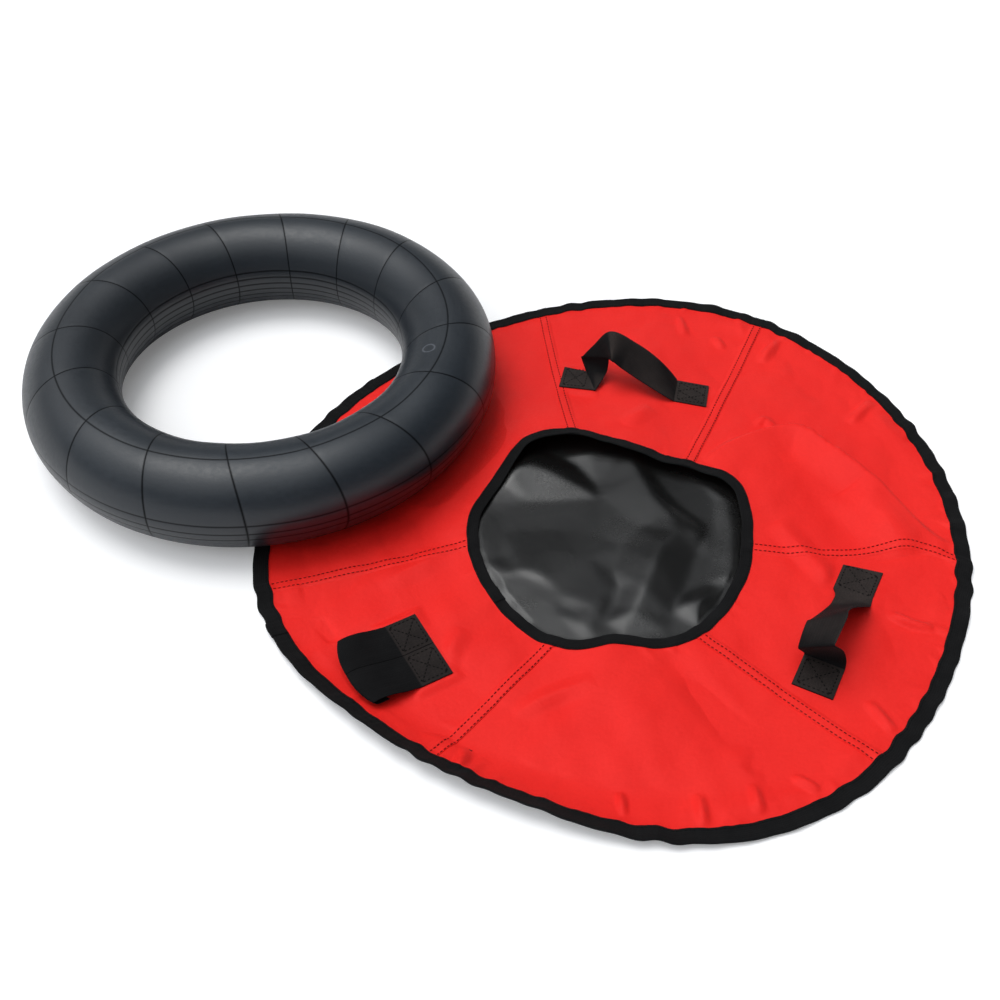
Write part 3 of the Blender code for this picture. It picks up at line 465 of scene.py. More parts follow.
opening = {
    "x": -0.010, "y": -0.053, "radius": 0.1625, "tapeWidth": 0.0145, "tapeColumns": 900,
    "tapePucker": 0.00018, "lapDegrees": (214.0, 219.0),
    "radiusShares": (0.994, 1.056, 1.111, 1.007, 0.921, 0.926, 0.982, 1.111, 1.148, 1.049, 1.007, 1.019,
                     1.000, 0.975, 0.970, 0.982, 1.012, 0.994, 0.921, 0.970, 1.000, 0.975, 0.963, 0.975),
    "hemRise": 0.026, "hemShares": (0.38, 0.70, 0.77, 1.00, 1.00, 0.46, 0.23, 0.16, 0.16, 0.46, 0.19, 0.19),
    "hemFall": 2.5, "seamDegrees": (51.0, 100.7, 182.0, 242.5, 304.0, 354.7), "ripple": 0.0004,
}
# The flutter has quick waves, which never sink below a least value, and slow ones that quieten them in places
flutterForm = {"quick": (23, 71, 4), "quickSeed": 11, "least": 0.1, "slow": (2, 9), "slowSeed": 12,
               "slowSpan": (-0.6, 0.9), "shares": (0.35, 0.65), "fall": 1.6}
# The right seam bows back near its outer end, and the cloth beside it with it
seamBend = {"degrees": 347.6, "spread": 15, "shift": 0.024, "lean": 2.6}
# Each seam's lap, the step up to it, the drop past it, its stitched rows and their dent, and a panel's puff
seam = {"lap": 0.012, "step": 0.004, "drop": 0.001, "rows": (0.0015, 0.0105), "puff": 0.005, "dent": 0.0004}
# Middle of the tube, radii of its ring and section and half width of its flat bed, all in metres, and its
# tilt in degrees
tube = {"x": -0.4654, "y": 0.2198, "ring": 0.2509, "section": 0.0630, "tilt": 0.675, "bed": 0.050}
panelNames = ("top_handle_panel", "far_left_panel", "tow_strap_panel", "front_panel", "right_handle_panel",
              "right_panel")
clothGrid = {"panelRows": 104, "lapColumns": 17, "columnWidth": 0.0028, "baseColumns": 400, "baseInner": 84,
             "baseOuter": 22, "hubShare": 0.012, "hillStep": 0.002, "hillPasses": 9}
# Spans in metres over which one thing gives way to another
fades = {"tube": (0.008, 0.040), "waves": (0.016, 0.040), "folds": (0.008, 0.022), "plate": (0.001, 0.014),
         "tape": (0.002, 0.006), "dent": 0.0011}

# Folds of the top cloth: a line in metres, a height, and a half width or one for each side and a sharpness
topFolds = (
    (((0.121, 0.082), (0.156, 0.112), (0.195, 0.134), (0.233, 0.148), (0.260, 0.143), (0.290, 0.105),
      (0.323, 0.065), (0.346, 0.034), (0.376, -0.023), (0.408, -0.060)), 0.0110, 0.0125, 0.052, 0.75),
    (((0.199, 0.163), (0.213, 0.173), (0.227, 0.155)), 0.003, 0.009),
    (((0.121, 0.405), (0.124, 0.360)), 0.003, 0.010),
    (((0.166, 0.358), (0.178, 0.330)), 0.003, 0.009),
    (((0.258, 0.350), (0.225, 0.300)), 0.0045, 0.013),
    (((0.367, 0.214), (0.328, 0.170)), 0.004, 0.012),
    (((0.283, -0.330), (0.262, -0.290)), 0.003, 0.010),
    (((0.123, -0.433), (0.120, -0.396)), 0.003, 0.010),
    (((0.063, -0.447), (0.061, -0.407)), 0.003, 0.010),
    (((0.312, -0.163), (0.333, -0.178), (0.359, -0.187)), 0.0045, 0.010),
    (((0.344, -0.196), (0.380, -0.214)), -0.003, 0.009),
    (((0.389, -0.104), (0.395, -0.163)), -0.003, 0.012),
    (((0.041, -0.227), (0.076, -0.279), (0.130, -0.356)), -0.003, 0.030),
    (((0.153, -0.345), (0.115, -0.380)), -0.002, 0.016),
    (((0.162, -0.384), (0.190, -0.403)), 0.0035, 0.010),
    (((-0.040, -0.265), (-0.092, -0.284), (-0.137, -0.312)), 0.0030, 0.018),
    (((-0.284, -0.290), (-0.256, -0.302), (-0.225, -0.322), (-0.179, -0.343), (-0.121, -0.378),
      (-0.064, -0.398), (-0.035, -0.398)), -0.0035, 0.012),
    (((-0.181, -0.352), (-0.191, -0.388)), 0.004, 0.010),
    (((-0.021, -0.405), (-0.018, -0.436)), 0.0035, 0.009),
    (((-0.383, -0.095), (-0.366, -0.146)), -0.0035, 0.014),
    (((-0.360, -0.172), (-0.336, -0.206)), -0.0035, 0.012),
    (((0.020, 0.150), (0.060, 0.190)), 0.003, 0.020),
    (((0.200, -0.020), (0.250, -0.110), (0.262, -0.130)), 0.0035, 0.024),
    (((-0.200, -0.060), (-0.290, -0.120)), 0.0030, 0.026),
    (((-0.190, -0.190), (-0.215, -0.255)), 0.0030, 0.020),
    (((0.300, 0.040), (0.335, -0.020), (0.345, -0.075)), 0.0070, 0.050),
)
# Ridges and feet of the base cloth's folds in the opening, and the flat ground round them, as x, y and height
# in millimetres
baseLines = (
    ((-142, 43, 10), (-134, 57, 17), (-121, 69, 20), (-106, 75, 20), (-86, 66, 18), (-66, 55, 14),
     (-43, 42, 9), (-24, 29, 5)),
    ((-150, 79, 3), (-135, 102, 3), (-117, 115, 3), (-93, 117, 3), (-67, 102, 3), (-44, 83, 3),
     (-22, 49, 3)),
    ((-159, 16, 6), (-139, 19, 5), (-108, 21, 4), (-69, 23, 4), (-41, 25, 4), (-18, 27, 4)),
    ((-27, 107, 9), (-6, 112, 10), (15, 106, 10)),
    ((25, 98, 12), (36, 61, 13), (50, 20, 14), (70, -12, 14), (90, -30, 12), (104, -38, 9)),
    ((40, 111, 5), (51, 70, 6), (65, 33, 7), (84, 4, 7), (102, -14, 6), (112, -25, 5)),
    ((72, -42, 15), (52, -64, 17), (41, -92, 18), (26, -132, 16), (12, -165, 11), (-3, -196, 4),
     (-11, -213, 2)),
    ((106, -41, 5), (96, -67, 3), (83, -102, 3), (70, -137, 3), (57, -166, 3), (47, -191, 3),
     (40, -209, 3)),
    ((28, -31, 9), (4, -63, 7), (-10, -98, 6)),
    ((-19, -126, 8), (-31, -155, 8), (-44, -182, 6), (-54, -201, 2)),
    ((-3, -126, 6), (-12, -153, 4), (-25, -180, 4), (-34, -204, 4)),
    ((-121, -29, 4), (-71, -29, 4), (-22, -39, 5)),
    ((-128, -70, 6), (-85, -64, 6), (-42, -78, 6)),
    ((-148, -111, 5), (-136, -103, 7), (-119, -99, 8), (-101, -104, 8), (-86, -116, 7), (-75, -135, 6),
     (-67, -158, 4)),
    ((-146, -122, 5), (-133, -113, 5), (-118, -108, 5), (-105, -113, 5), (-93, -125, 5), (-85, -144, 5),
     (-80, -165, 4)),
    ((-174, -4, 6), (-171, -43, 6), (-165, -84, 5), (-158, -115, 3)),
    ((-146, 2, 4), (-143, -38, 4), (-142, -76, 4)),
    ((66, -153, 6), (83, -150, 9), (99, -150, 9), (116, -154, 6)),
    ((54, -193, 2), (72, -198, 2), (91, -190, 2), (109, -176, 2)),
    ((142, 19, 8), (142, -26, 9), (138, -68, 9), (131, -108, 8)),
    ((113, 57, 6), (128, 22, 5), (124, -30, 4), (114, -80, 4), (104, -120, 4)),
    ((163, 24, 3), (162, -29, 3), (155, -79, 3), (144, -127, 3)),
    ((-150, -130, 2), (-136, -152, 1.5), (-115, -172, 1.5), (-92, -192, 1.5), (-68, -206, 1.5)),
    ((-203, -9, 1.5), (-198, 81, 1.5), (-159, 149, 1.5), (-91, 183, 1.5), (-10, 168, 1.5), (69, 138, 1.5),
     (146, 109, 1.5), (195, 62, 1.5), (192, -45, 1.5), (169, -142, 1.5), (125, -209, 1.5), (70, -238, 1.5),
     (13, -242, 1.5), (-55, -245, 1.5), (-123, -202, 1.5), (-172, -141, 1.5), (-203, -9, 1.5)),
)

topOverBase = gauge["base"] + gauge["air"]
lapLift = gauge["top"] + gauge["air"]
edgeLip = gauge["tape"] + gauge["air"]
clothInset = 2 * gauge["tape"] + gauge["air"]
openingCentre = np.array([opening["x"], opening["y"]])
tubeCentre = np.array([tube["x"], tube["y"]])
toCover = -tubeCentre / np.hypot(*tubeCentre)
tubeTilt = math.radians(tube["tilt"])


def around(values, angle):
    # A closed curve through evenly spaced values
    table = np.asarray(values, float)
    place = np.asarray(angle, float) / (2 * math.pi) % 1 * len(table)
    start = np.floor(place).astype(int)
    share = place - start
    a, b, c, d = (table[(start + step) % len(table)] for step in (-1, 0, 1, 2))
    return 0.5 * (2 * b + (c - a) * share + (2 * a - 5 * b + 4 * c - d) * share ** 2
                  + (3 * b - 3 * c + d - a) * share ** 3)


def ripple(angle, turns, seed):
    # Small closed waves round an edge, about -1 to 1
    dice = np.random.default_rng(seed)
    total = np.zeros_like(np.asarray(angle, float))
    for turn in turns:
        total = total + dice.uniform(0.4, 1.0) * np.cos(turn * angle + dice.uniform(0, 2 * math.pi))
    return total / math.sqrt(len(turns))


def waves(spots, size, seed, count=16):
    # Slow seamless unevenness over the ground plan, about -1 to 1
    dice = np.random.default_rng(seed)
    total = np.zeros(spots.shape[:-1])
    for _ in range(count):
        heading = dice.uniform(0, 2 * math.pi)
        length = size * dice.uniform(0.7, 1.6)
        along = spots[..., 0] * math.cos(heading) + spots[..., 1] * math.sin(heading)
        total += np.cos(2 * math.pi * along / length + dice.uniform(0, 2 * math.pi))
    return total / math.sqrt(count / 2) / 1.6


def smoothStep(value, low, high):
    share = np.clip((value - low) / (high - low), 0, 1)
    return share * share * (3 - 2 * share)


def edgeRadius(edge, angle, turns, seed):
    return edge["radius"] * around(edge["radiusShares"], angle) + edge["ripple"] * ripple(angle, turns, seed)


def coverEdge(angle):
    radius = edgeRadius(cover, angle, range(48, 96, 5), 3)
    return np.stack([radius * np.cos(angle), radius * np.sin(angle)], -1)


def openingEdge(angle):
    radius = edgeRadius(opening, angle, range(17, 44, 4), 5)
    return np.stack([opening["x"] + radius * np.cos(angle), opening["y"] + radius * np.sin(angle)], -1)


def seamPlace(number):
    # Where a seam meets both edges: its two angles, and its distance from each edge's middle
    turn = 2 * math.pi * (number // 6)
    coverSeam = math.radians(cover["seamDegrees"][number % 6]) + turn
    openingSeam = math.radians(opening["seamDegrees"][number % 6]) + turn
    coverRadius = float(np.hypot(*coverEdge(coverSeam)))
    openingRadius = float(np.hypot(*(openingEdge(openingSeam) - openingCentre)))
    return coverSeam, openingSeam, coverRadius, openingRadius


def tubeUnderside(spots):
    out = spots - tubeCentre
    far = np.maximum(np.hypot(out[..., 0], out[..., 1]), 1e-6)
    nearest = (out / far[..., None]) @ toCover * tube["ring"]
    bottom = tubeTilt * (tube["ring"] + nearest)
    aside = np.clip(np.abs(far - tube["ring"]) - tube["bed"], 0, tube["section"])
    return bottom + tube["section"] - np.sqrt(tube["section"] ** 2 - aside ** 2)


def curveBetween(start, startSlope, end, endSlope, t):
    return (start * (2 * t ** 3 - 3 * t ** 2 + 1) + startSlope * (t ** 3 - 2 * t ** 2 + t)
            + end * (3 * t ** 2 - 2 * t ** 3) + endSlope * (t ** 3 - t ** 2))


def bendLine(line, steps=6):
    # A smooth curve through a line's points
    points = np.array(line)
    if len(points) < 3:
        return points
    slopes = np.gradient(points, axis=0)
    t = np.linspace(0, 1, steps, endpoint=False)[:, None]
    parts = [curveBetween(points[index], slopes[index], points[index + 1], slopes[index + 1], t)
             for index in range(len(points) - 1)]
    return np.concatenate([*parts, points[-1:]])


def marksAlong(points):
    # How far along a line each of its points lies
    return np.concatenate([[0], np.cumsum(np.linalg.norm(np.diff(points, axis=0), axis=-1))])


def floats(values):
    return tuple(float(value) for value in values)


def raised(plan, height):
    # Places on the ground plan, given their height
    return np.concatenate([plan, height[..., None]], -1)


plainSharpness = 0.35


def foldHeight(spots, folds):
    # Each fold rises to a ridge along its line and dies away at its ends
    flat = spots.reshape(-1, 2)
    total = np.zeros(len(flat))
    for line, height, *form in folds:
        left, right, sharp = form if len(form) == 3 else (form[0], form[0], plainSharpness)
        points = bendLine(line)
        reach = max(left, right)
        near = np.all((flat > points.min(axis=0) - reach) & (flat < points.max(axis=0) + reach), axis=1)
        if not near.any():
            continue
        close = flat[near]
        marks = marksAlong(points)
        nearest = np.full(len(close), 9.0)
        along, side = np.zeros((2, len(close)))
        for index, length in enumerate(np.diff(marks)):
            run = (points[index + 1] - points[index]) / length
            offset = close - points[index]
            passed = np.clip(offset @ run, 0, length)
            distance = np.hypot(offset[:, 0] - run[0] * passed, offset[:, 1] - run[1] * passed)
            aside = (run[0] * offset[:, 1] - run[1] * offset[:, 0]) / np.maximum(distance, 1e-7)
            closer = distance < nearest
            nearest = np.where(closer, distance, nearest)
            side = np.where(closer, aside, side)
            along = np.where(closer, marks[index] + passed, along)
        fade = np.sin(math.pi * np.clip(along / marks[-1], 0.001, 0.999)) ** 0.7
        share = np.clip(nearest / (right + (left - right) * (0.5 + 0.5 * np.clip(side, -1, 1))), 0, 1)
        rounded = np.cos(math.pi / 2 * share) ** 2
        creased = (1 - share) ** 2 * (1 + 0.5 * share)
        total[near] += height * fade * (rounded * (1 - sharp) + creased * sharp)
    return total.reshape(spots.shape[:-1])


class Strip:
    # Columns of cloth from the opening to the cover's edge, as arrays one beside the other
    def __init__(self, coverAngle, openingAngle, across=0.0, lift=0.0, seamGap=1.0):
        columns = (coverAngle, openingAngle, across, lift, seamGap)
        self.cover, self.opening, self.across, self.lift, self.seamGap = (
            np.broadcast_to(np.asarray(column, float), np.shape(coverAngle)) for column in columns)
        self.start = openingEdge(self.opening)
        run = coverEdge(self.cover) - self.start
        self.length = np.hypot(run[:, 0], run[:, 1])
        self.heading = run / self.length[:, None]

    def spots(self, reach):
        share = np.clip(reach / self.length[:, None], 0, 1)
        away = (self.cover - math.radians(seamBend["degrees"]) + math.pi) % (2 * math.pi) - math.pi
        near = np.exp(-(away / math.radians(seamBend["spread"])) ** 2)[:, None]
        aside = seamBend["shift"] * near * np.sin(math.pi * share ** seamBend["lean"]) ** 1.5
        return (self.start[:, None, :] + self.heading[:, None, :] * reach[..., None]
                + np.stack([-self.heading[:, 1:] * aside, self.heading[:, :1] * aside], -1))


def tubeShade(spots):
    # 0 where the tube lies on the cloth, 1 well clear of it
    return smoothStep(tubeUnderside(spots), *fades["tube"])


def edgeRise(strip, reach):
    inset = strip.length[:, None] - reach
    ramp = np.clip((cover["curlWidth"] - inset) / (cover["curlWidth"] - 2 * cover["tapeWidth"]), 0, 1)
    near = np.clip(1 - inset / cover["curlWidth"], 0, 1) ** 2
    curl = cover["curlRise"] * np.maximum(around(cover["curlShares"], strip.cover), 0)[:, None]
    # The edge flutters upwards, more in some places than in others
    quick = ripple(strip.cover, range(*flutterForm["quick"]), flutterForm["quickSeed"])
    slow = ripple(strip.cover, range(*flutterForm["slow"]), flutterForm["slowSeed"])
    still, moving = flutterForm["shares"]
    wave = np.maximum(quick, -flutterForm["least"])[:, None] + flutterForm["least"]
    wave = wave * (still + moving * smoothStep(slow, *flutterForm["slowSpan"])[:, None])
    spots = strip.spots(reach)
    rising = np.clip(1 - inset / cover["flutterWidth"], 0, 1) ** flutterForm["fall"]
    flutter = cover["flutter"] * wave * rising * tubeShade(spots)
    return edgeLip * ramp + curl * near + flutter


# Gathers along the two taped edges: heights, widths and lengths lie between two values, jitter is in shares
# of their spacing, and some sink
puckerForm = {"jitter": 0.4, "slant": 0.6, "signs": (1, 1, -0.7), "widest": 0.06, "underTape": 0.55,
              "start": 0.5, "fall": 1.2}
edgePuckers = {"count": 104, "seed": 21, "height": (0.0009, 0.0034), "width": (0.0040, 0.0085),
               "reach": (0.010, 0.046)}
hemPuckers = {"count": 44, "seed": 22, "height": (0.0004, 0.0016), "width": (0.0035, 0.0070),
              "reach": (0.008, 0.030)}
# Slow unevenness of the cloths: its height and length in metres, and a seed
clothWaves = {"slow": (0.0019, 0.12, 31), "quick": (0.0007, 0.048, 32), "base": (0.0005, 0.12, 41)}


def puckerHeight(angle, depth, radius, tapeWidth, puckers):
    # Gathers that the tape draws into the cloth's edge, each a short slanted ridge
    dice = np.random.default_rng(puckers["seed"])
    total = np.zeros(depth.shape)
    spacing = 2 * math.pi / puckers["count"]
    for index in range(puckers["count"]):
        middle = (index + dice.uniform(-puckerForm["jitter"], puckerForm["jitter"])) * spacing
        height, width, reach = (dice.uniform(*puckers[key]) for key in ("height", "width", "reach"))
        slant = dice.uniform(-puckerForm["slant"], puckerForm["slant"])
        height = height * dice.choice(puckerForm["signs"])
        aside = ((angle - middle + math.pi) % (2 * math.pi) - math.pi) * radius
        near = np.abs(aside) < puckerForm["widest"]
        if not near.any():
            continue
        past = depth[near] - tapeWidth * puckerForm["underTape"]
        shape = np.exp(-((aside[near][:, None] - slant * past) / width) ** 2)
        start = tapeWidth * puckerForm["start"]
        fade = smoothStep(past, 0, start) * np.clip(1 - past / (reach + start), 0, 1) ** puckerForm["fall"]
        total[near] += height * shape * fade
    return total


def loft(strip, reach):
    inset = strip.length[:, None] - reach
    along = np.clip(reach / (strip.length[:, None] - cover["curlWidth"]), 0, 1)
    spots = strip.spots(reach)
    hem = opening["hemRise"] * around(opening["hemShares"], strip.opening)[:, None]
    hem = hem * (1 - along) ** opening["hemFall"]
    puff = seam["puff"] * np.sin(math.pi * along) * np.sin(math.pi * strip.across)[:, None] ** 2
    gathers = puckerHeight(strip.cover, inset, cover["radius"], cover["tapeWidth"], edgePuckers)
    gathers = gathers + puckerHeight(strip.opening, reach, opening["radius"], opening["tapeWidth"],
                                     hemPuckers)
    slow = sum(height * waves(spots, *size) for height, *size in (clothWaves["slow"], clothWaves["quick"]))
    slow = slow * smoothStep(inset, *fades["waves"])
    folds = cover["foldGain"] * foldHeight(spots, topFolds) * smoothStep(inset, *fades["folds"])
    free = hem + puff + folds + gathers + slow
    for gap in seam["rows"]:
        free = free - seam["dent"] * np.exp(-((strip.seamGap[:, None] - gap) / fades["dent"]) ** 2)
    pressed = tubeUnderside(spots) - topOverBase - gauge["top"] - gauge["air"]
    return np.minimum(np.maximum(free, 0), np.maximum(pressed, 0))


# Sewn ends of the straps stay where the CAD has them, and the cloth lies flat under each

# Two sewn ends each, and the way that the strap runs, in degrees
strapPlates = {
    "top_handle": ("top_handle_first_end", "top_handle_second_end", -11.6),
    "right_handle": ("right_handle_first_end", "right_handle_second_end", -116.9),
    "tow_strap": ("tow_strap_first_end", "tow_strap_second_end", 209.3),
}


def plateFrame(name, degrees):
    # A plate's middle, and its axes along the strap, across it and up
    mesh = nodes[name].data
    corners = np.zeros(len(mesh.vertices) * 3)
    mesh.vertices.foreach_get("co", corners)
    corners = np.unique(corners.reshape(-1, 3).round(6), axis=0)
    middle = corners.mean(axis=0)
    _, _, axes = np.linalg.svd(corners - middle)
    heading = np.array([math.cos(math.radians(degrees)), math.sin(math.radians(degrees)), 0])
    along = max(axes, key=lambda axis: abs(axis @ heading))
    up = max(axes, key=lambda axis: abs(axis[2]))
    along = along * np.sign(along @ heading)
    up = up * np.sign(up[2])
    across = np.cross(up, along)
    size = [float(np.ptp((corners - middle) @ axis)) for axis in (along, across)]
    return {"middle": middle, "along": along, "across": across, "up": up, "size": size}


plates = {name: plateFrame(name, degrees) for *names, degrees in strapPlates.values() for name in names}


def flattenUnderPlates(spots, height):
    for plate in plates.values():
        offset = spots - plate["middle"][:2]
        up = plate["up"]
        outside = np.maximum(np.abs(offset @ plate["along"][:2]) - plate["size"][0] / 2,
                             np.abs(offset @ plate["across"][:2]) - plate["size"][1] / 2)
        plane = plate["middle"][2] - (offset @ up[:2]) / up[2]
        plane = plane - gauge["web"] / 2 - gauge["top"] - gauge["hair"]
        weight = 1 - smoothStep(outside, *fades["plate"])
        height = height * (1 - weight) + plane * weight
    return height


def topUnderside(strip, reach):
    spots = strip.spots(reach)
    height = edgeRise(strip, reach) + topOverBase + loft(strip, reach) + lapLift * strip.lift[:, None]
    return flattenUnderPlates(spots, height)


# Cloth pieces

def gridMesh(name, spots, uvs, closedColumns=False, closedRows=False):
    # A sheet of quads through a grid of points, columns first
    columns, rows = spots.shape[:2]
    index = np.arange(columns * rows).reshape(columns, rows)
    if closedColumns:
        index = np.vstack([index, index[:1]])
    if closedRows:
        index = np.hstack([index, index[:, :1]])
    quads = np.stack([index[:-1, :-1], index[1:, :-1], index[1:, 1:], index[:-1, 1:]], -1).reshape(-1, 4)
    mesh = bpy.data.meshes.new(name)
    mesh.from_pydata(spots.reshape(-1, 3).tolist(), [], quads.tolist())
    if closedColumns:
        # The last column meets the first, and its pattern runs on from the one before it
        uvs = np.concatenate([uvs, 2 * uvs[-1:] - uvs[-2:-1]], axis=0)
    if closedRows:
        uvs = np.concatenate([uvs, uvs[:, :1]], axis=1)
    corners = np.stack([uvs[:-1, :-1], uvs[1:, :-1], uvs[1:, 1:], uvs[:-1, 1:]], 2)
    mesh.uv_layers.new(name="cloth").data.foreach_set("uv", corners.reshape(-1).astype(np.float32))
    made = bpy.data.objects.new(name, mesh)
    scene.collection.objects.link(made)
    mesh.shade_smooth()
    return made


def pick(piece):
    bpy.ops.object.select_all(action="DESELECT")
    piece.select_set(True)
    bpy.context.view_layer.objects.active = piece


def joinPieces(piece, other):
    pick(piece)
    other.select_set(True)
    bpy.ops.object.join()
    return piece


def closeHoles(piece, within=math.inf, split=False):
    # Fills the mesh's open rings that start near enough to the origin, and turns its faces outwards
    mesh = bmesh.new()
    mesh.from_mesh(piece.data)
    rings = [edge for edge in mesh.edges if edge.is_boundary and edge.verts[0].co.xy.length < within]
    filled = bmesh.ops.holes_fill(mesh, edges=rings)["faces"]
    if split:
        bmesh.ops.triangulate(mesh, faces=filled)
    bmesh.ops.recalc_face_normals(mesh, faces=mesh.faces[:])
    return mesh


def thickenCloth(piece, thickness, offset=1.0):
    pick(piece)
    solid = piece.modifiers.new("cloth_gauge", "SOLIDIFY")
    solid.thickness = thickness
    solid.offset = offset
    solid.use_even_offset = False
    bpy.ops.object.modifier_apply(modifier=solid.name)


def dress(piece, finish, body="cover"):
    piece.data.materials.clear()
    piece.data.materials.append(finishes[finish])
    if body:
        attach(piece, body)


def flatSize(piece):
    layer = piece.data.uv_layers["cloth"]
    values = np.zeros(len(layer.data) * 2)
    layer.data.foreach_get("uv", values)
    return floats(np.ptp(values.reshape(-1, 2), axis=0))


def panelStrip(panel):
    # A fixture panel laps over its plain neighbours, so its cloth starts and ends a lap outside its seams
    isFixture = panel % 2 == 0
    columns = clothGrid["lapColumns"]
    lap = np.linspace(0, seam["lap"] + seam["step"], columns)
    ends = []
    for number, inward in ((panel, 1), (panel + 1, -1)):
        coverSeam, openingSeam, coverRadius, openingRadius = seamPlace(number)
        offsets = np.sort((lap - seam["lap"]) * inward if isFixture else lap * inward)
        lifted = smoothStep(-offsets * inward, -seam["step"], 0) if isFixture else np.zeros(columns)
        gap = seam["lap"] + offsets * inward * (1 if isFixture else -1)
        ends.append((coverSeam + offsets / coverRadius, openingSeam + offsets / openingRadius, lifted, gap))
    (startCover, startOpening, startLift, startGap), (endCover, endOpening, endLift, endGap) = ends
    count = max(3, round((endCover[0] - startCover[-1]) * cover["radius"] / clothGrid["columnWidth"]))
    share = np.arange(1, count + 1) / (count + 1)
    edge, flat = np.zeros(columns), np.zeros(count)
    middleCover = startCover[-1] + (endCover[0] - startCover[-1]) * share
    middleOpening = startOpening[-1] + (endOpening[0] - startOpening[-1]) * share
    runs = ((startCover, middleCover, endCover), (startOpening, middleOpening, endOpening),
            (edge, share, edge), (startLift, flat, endLift), (startGap, flat + 1.0, endGap))
    return Strip(*(np.concatenate(run) for run in runs))


def makePanel(panel, name):
    strip = panelStrip(panel)
    # Rows lie closer together towards both edges
    t = np.linspace(0, 1, clothGrid["panelRows"])
    shares = t - 0.5 * np.sin(2 * math.pi * t) / (2 * math.pi)
    reach = clothInset + shares[None, :] * (strip.length[:, None] - 2 * clothInset)
    plan = strip.spots(reach)
    spots = raised(plan, topUnderside(strip, reach))
    middle = strip.cover[len(strip.cover) // 2]
    radial = np.array([math.cos(middle), math.sin(middle)])
    uvs = np.stack([plan @ np.array([-radial[1], radial[0]]), plan @ radial], -1)
    piece = gridMesh(name + "_cloth", spots[:, ::-1], uvs[:, ::-1])
    thickenCloth(piece, gauge["top"])
    dress(piece, "red_cloth")
    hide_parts(name)
    return piece


print("sewing the top panels")
panelPieces = [makePanel(panel, name) for panel, name in enumerate(panelNames)]


# Base cloth: coated, stiff and crumpled where the opening shows it

def hillGrid(lines, step, passes, ground=0.0015):
    # Heights on a grid: flat faces between the lines, with their edges softened
    points, edges, heights = [], [], []
    for line in lines:
        start = len(points)
        kept = line[:-1] if line[0] == line[-1] else line
        points += [Vector((x / 1000, y / 1000)) for x, y, _ in kept]
        heights += [height / 1000 for _, _, height in kept]
        edges += [(start + i, start + i + 1) for i in range(len(kept) - 1)]
        if len(kept) < len(line):
            edges.append((len(points) - 1, start))
    corners, _, faces, origins = delaunay_2d_cdt(points, edges, [], 0, 1e-6)[:4]
    levels = [heights[origin[0]] if origin else 0 for origin in origins]
    low = np.min([tuple(corner) for corner in corners], axis=0)
    high = np.max([tuple(corner) for corner in corners], axis=0)
    xs, ys = (np.arange(low[axis], high[axis] + step, step) for axis in (0, 1))
    x, y = np.meshgrid(xs, ys, indexing="ij")
    grid = np.full(x.shape, ground)
    for face in faces:
        # Each grid point's shares of the face's corners b and c, both 0 or more where it lies inside
        (ax, ay), (bx, by), (cx, cy) = (corners[index] for index in face)
        area = (bx - ax) * (cy - ay) - (cx - ax) * (by - ay)
        if abs(area) < 1e-10:
            continue
        b = ((x - ax) * (cy - ay) - (cx - ax) * (y - ay)) / area
        c = ((bx - ax) * (y - ay) - (x - ax) * (by - ay)) / area
        inside = (b >= -1e-9) & (c >= -1e-9) & (b + c <= 1 + 1e-9)
        grid[inside] = ((1 - b - c) * levels[face[0]] + b * levels[face[1]] + c * levels[face[2]])[inside]
    for _ in range(passes):
        for axis in (0, 1):
            grid = 0.5 * grid + 0.25 * (np.roll(grid, 1, axis) + np.roll(grid, -1, axis))
    return low, step, grid


baseHills = hillGrid(baseLines, clothGrid["hillStep"], clothGrid["hillPasses"])


def baseHeight(spots):
    low, step, grid = baseHills
    place = np.clip((spots - low) / step, 0, np.array(grid.shape) - 1.001)
    cell = place.astype(int)
    u, v = place[..., 0] - cell[..., 0], place[..., 1] - cell[..., 1]
    i, j = cell[..., 0], cell[..., 1]
    hills = (grid[i, j] * (1 - u) * (1 - v) + grid[i + 1, j] * u * (1 - v) + grid[i, j + 1] * (1 - u) * v
             + grid[i + 1, j + 1] * u * v)
    height, *size = clothWaves["base"]
    return np.maximum(hills + height * waves(spots, *size), 0)


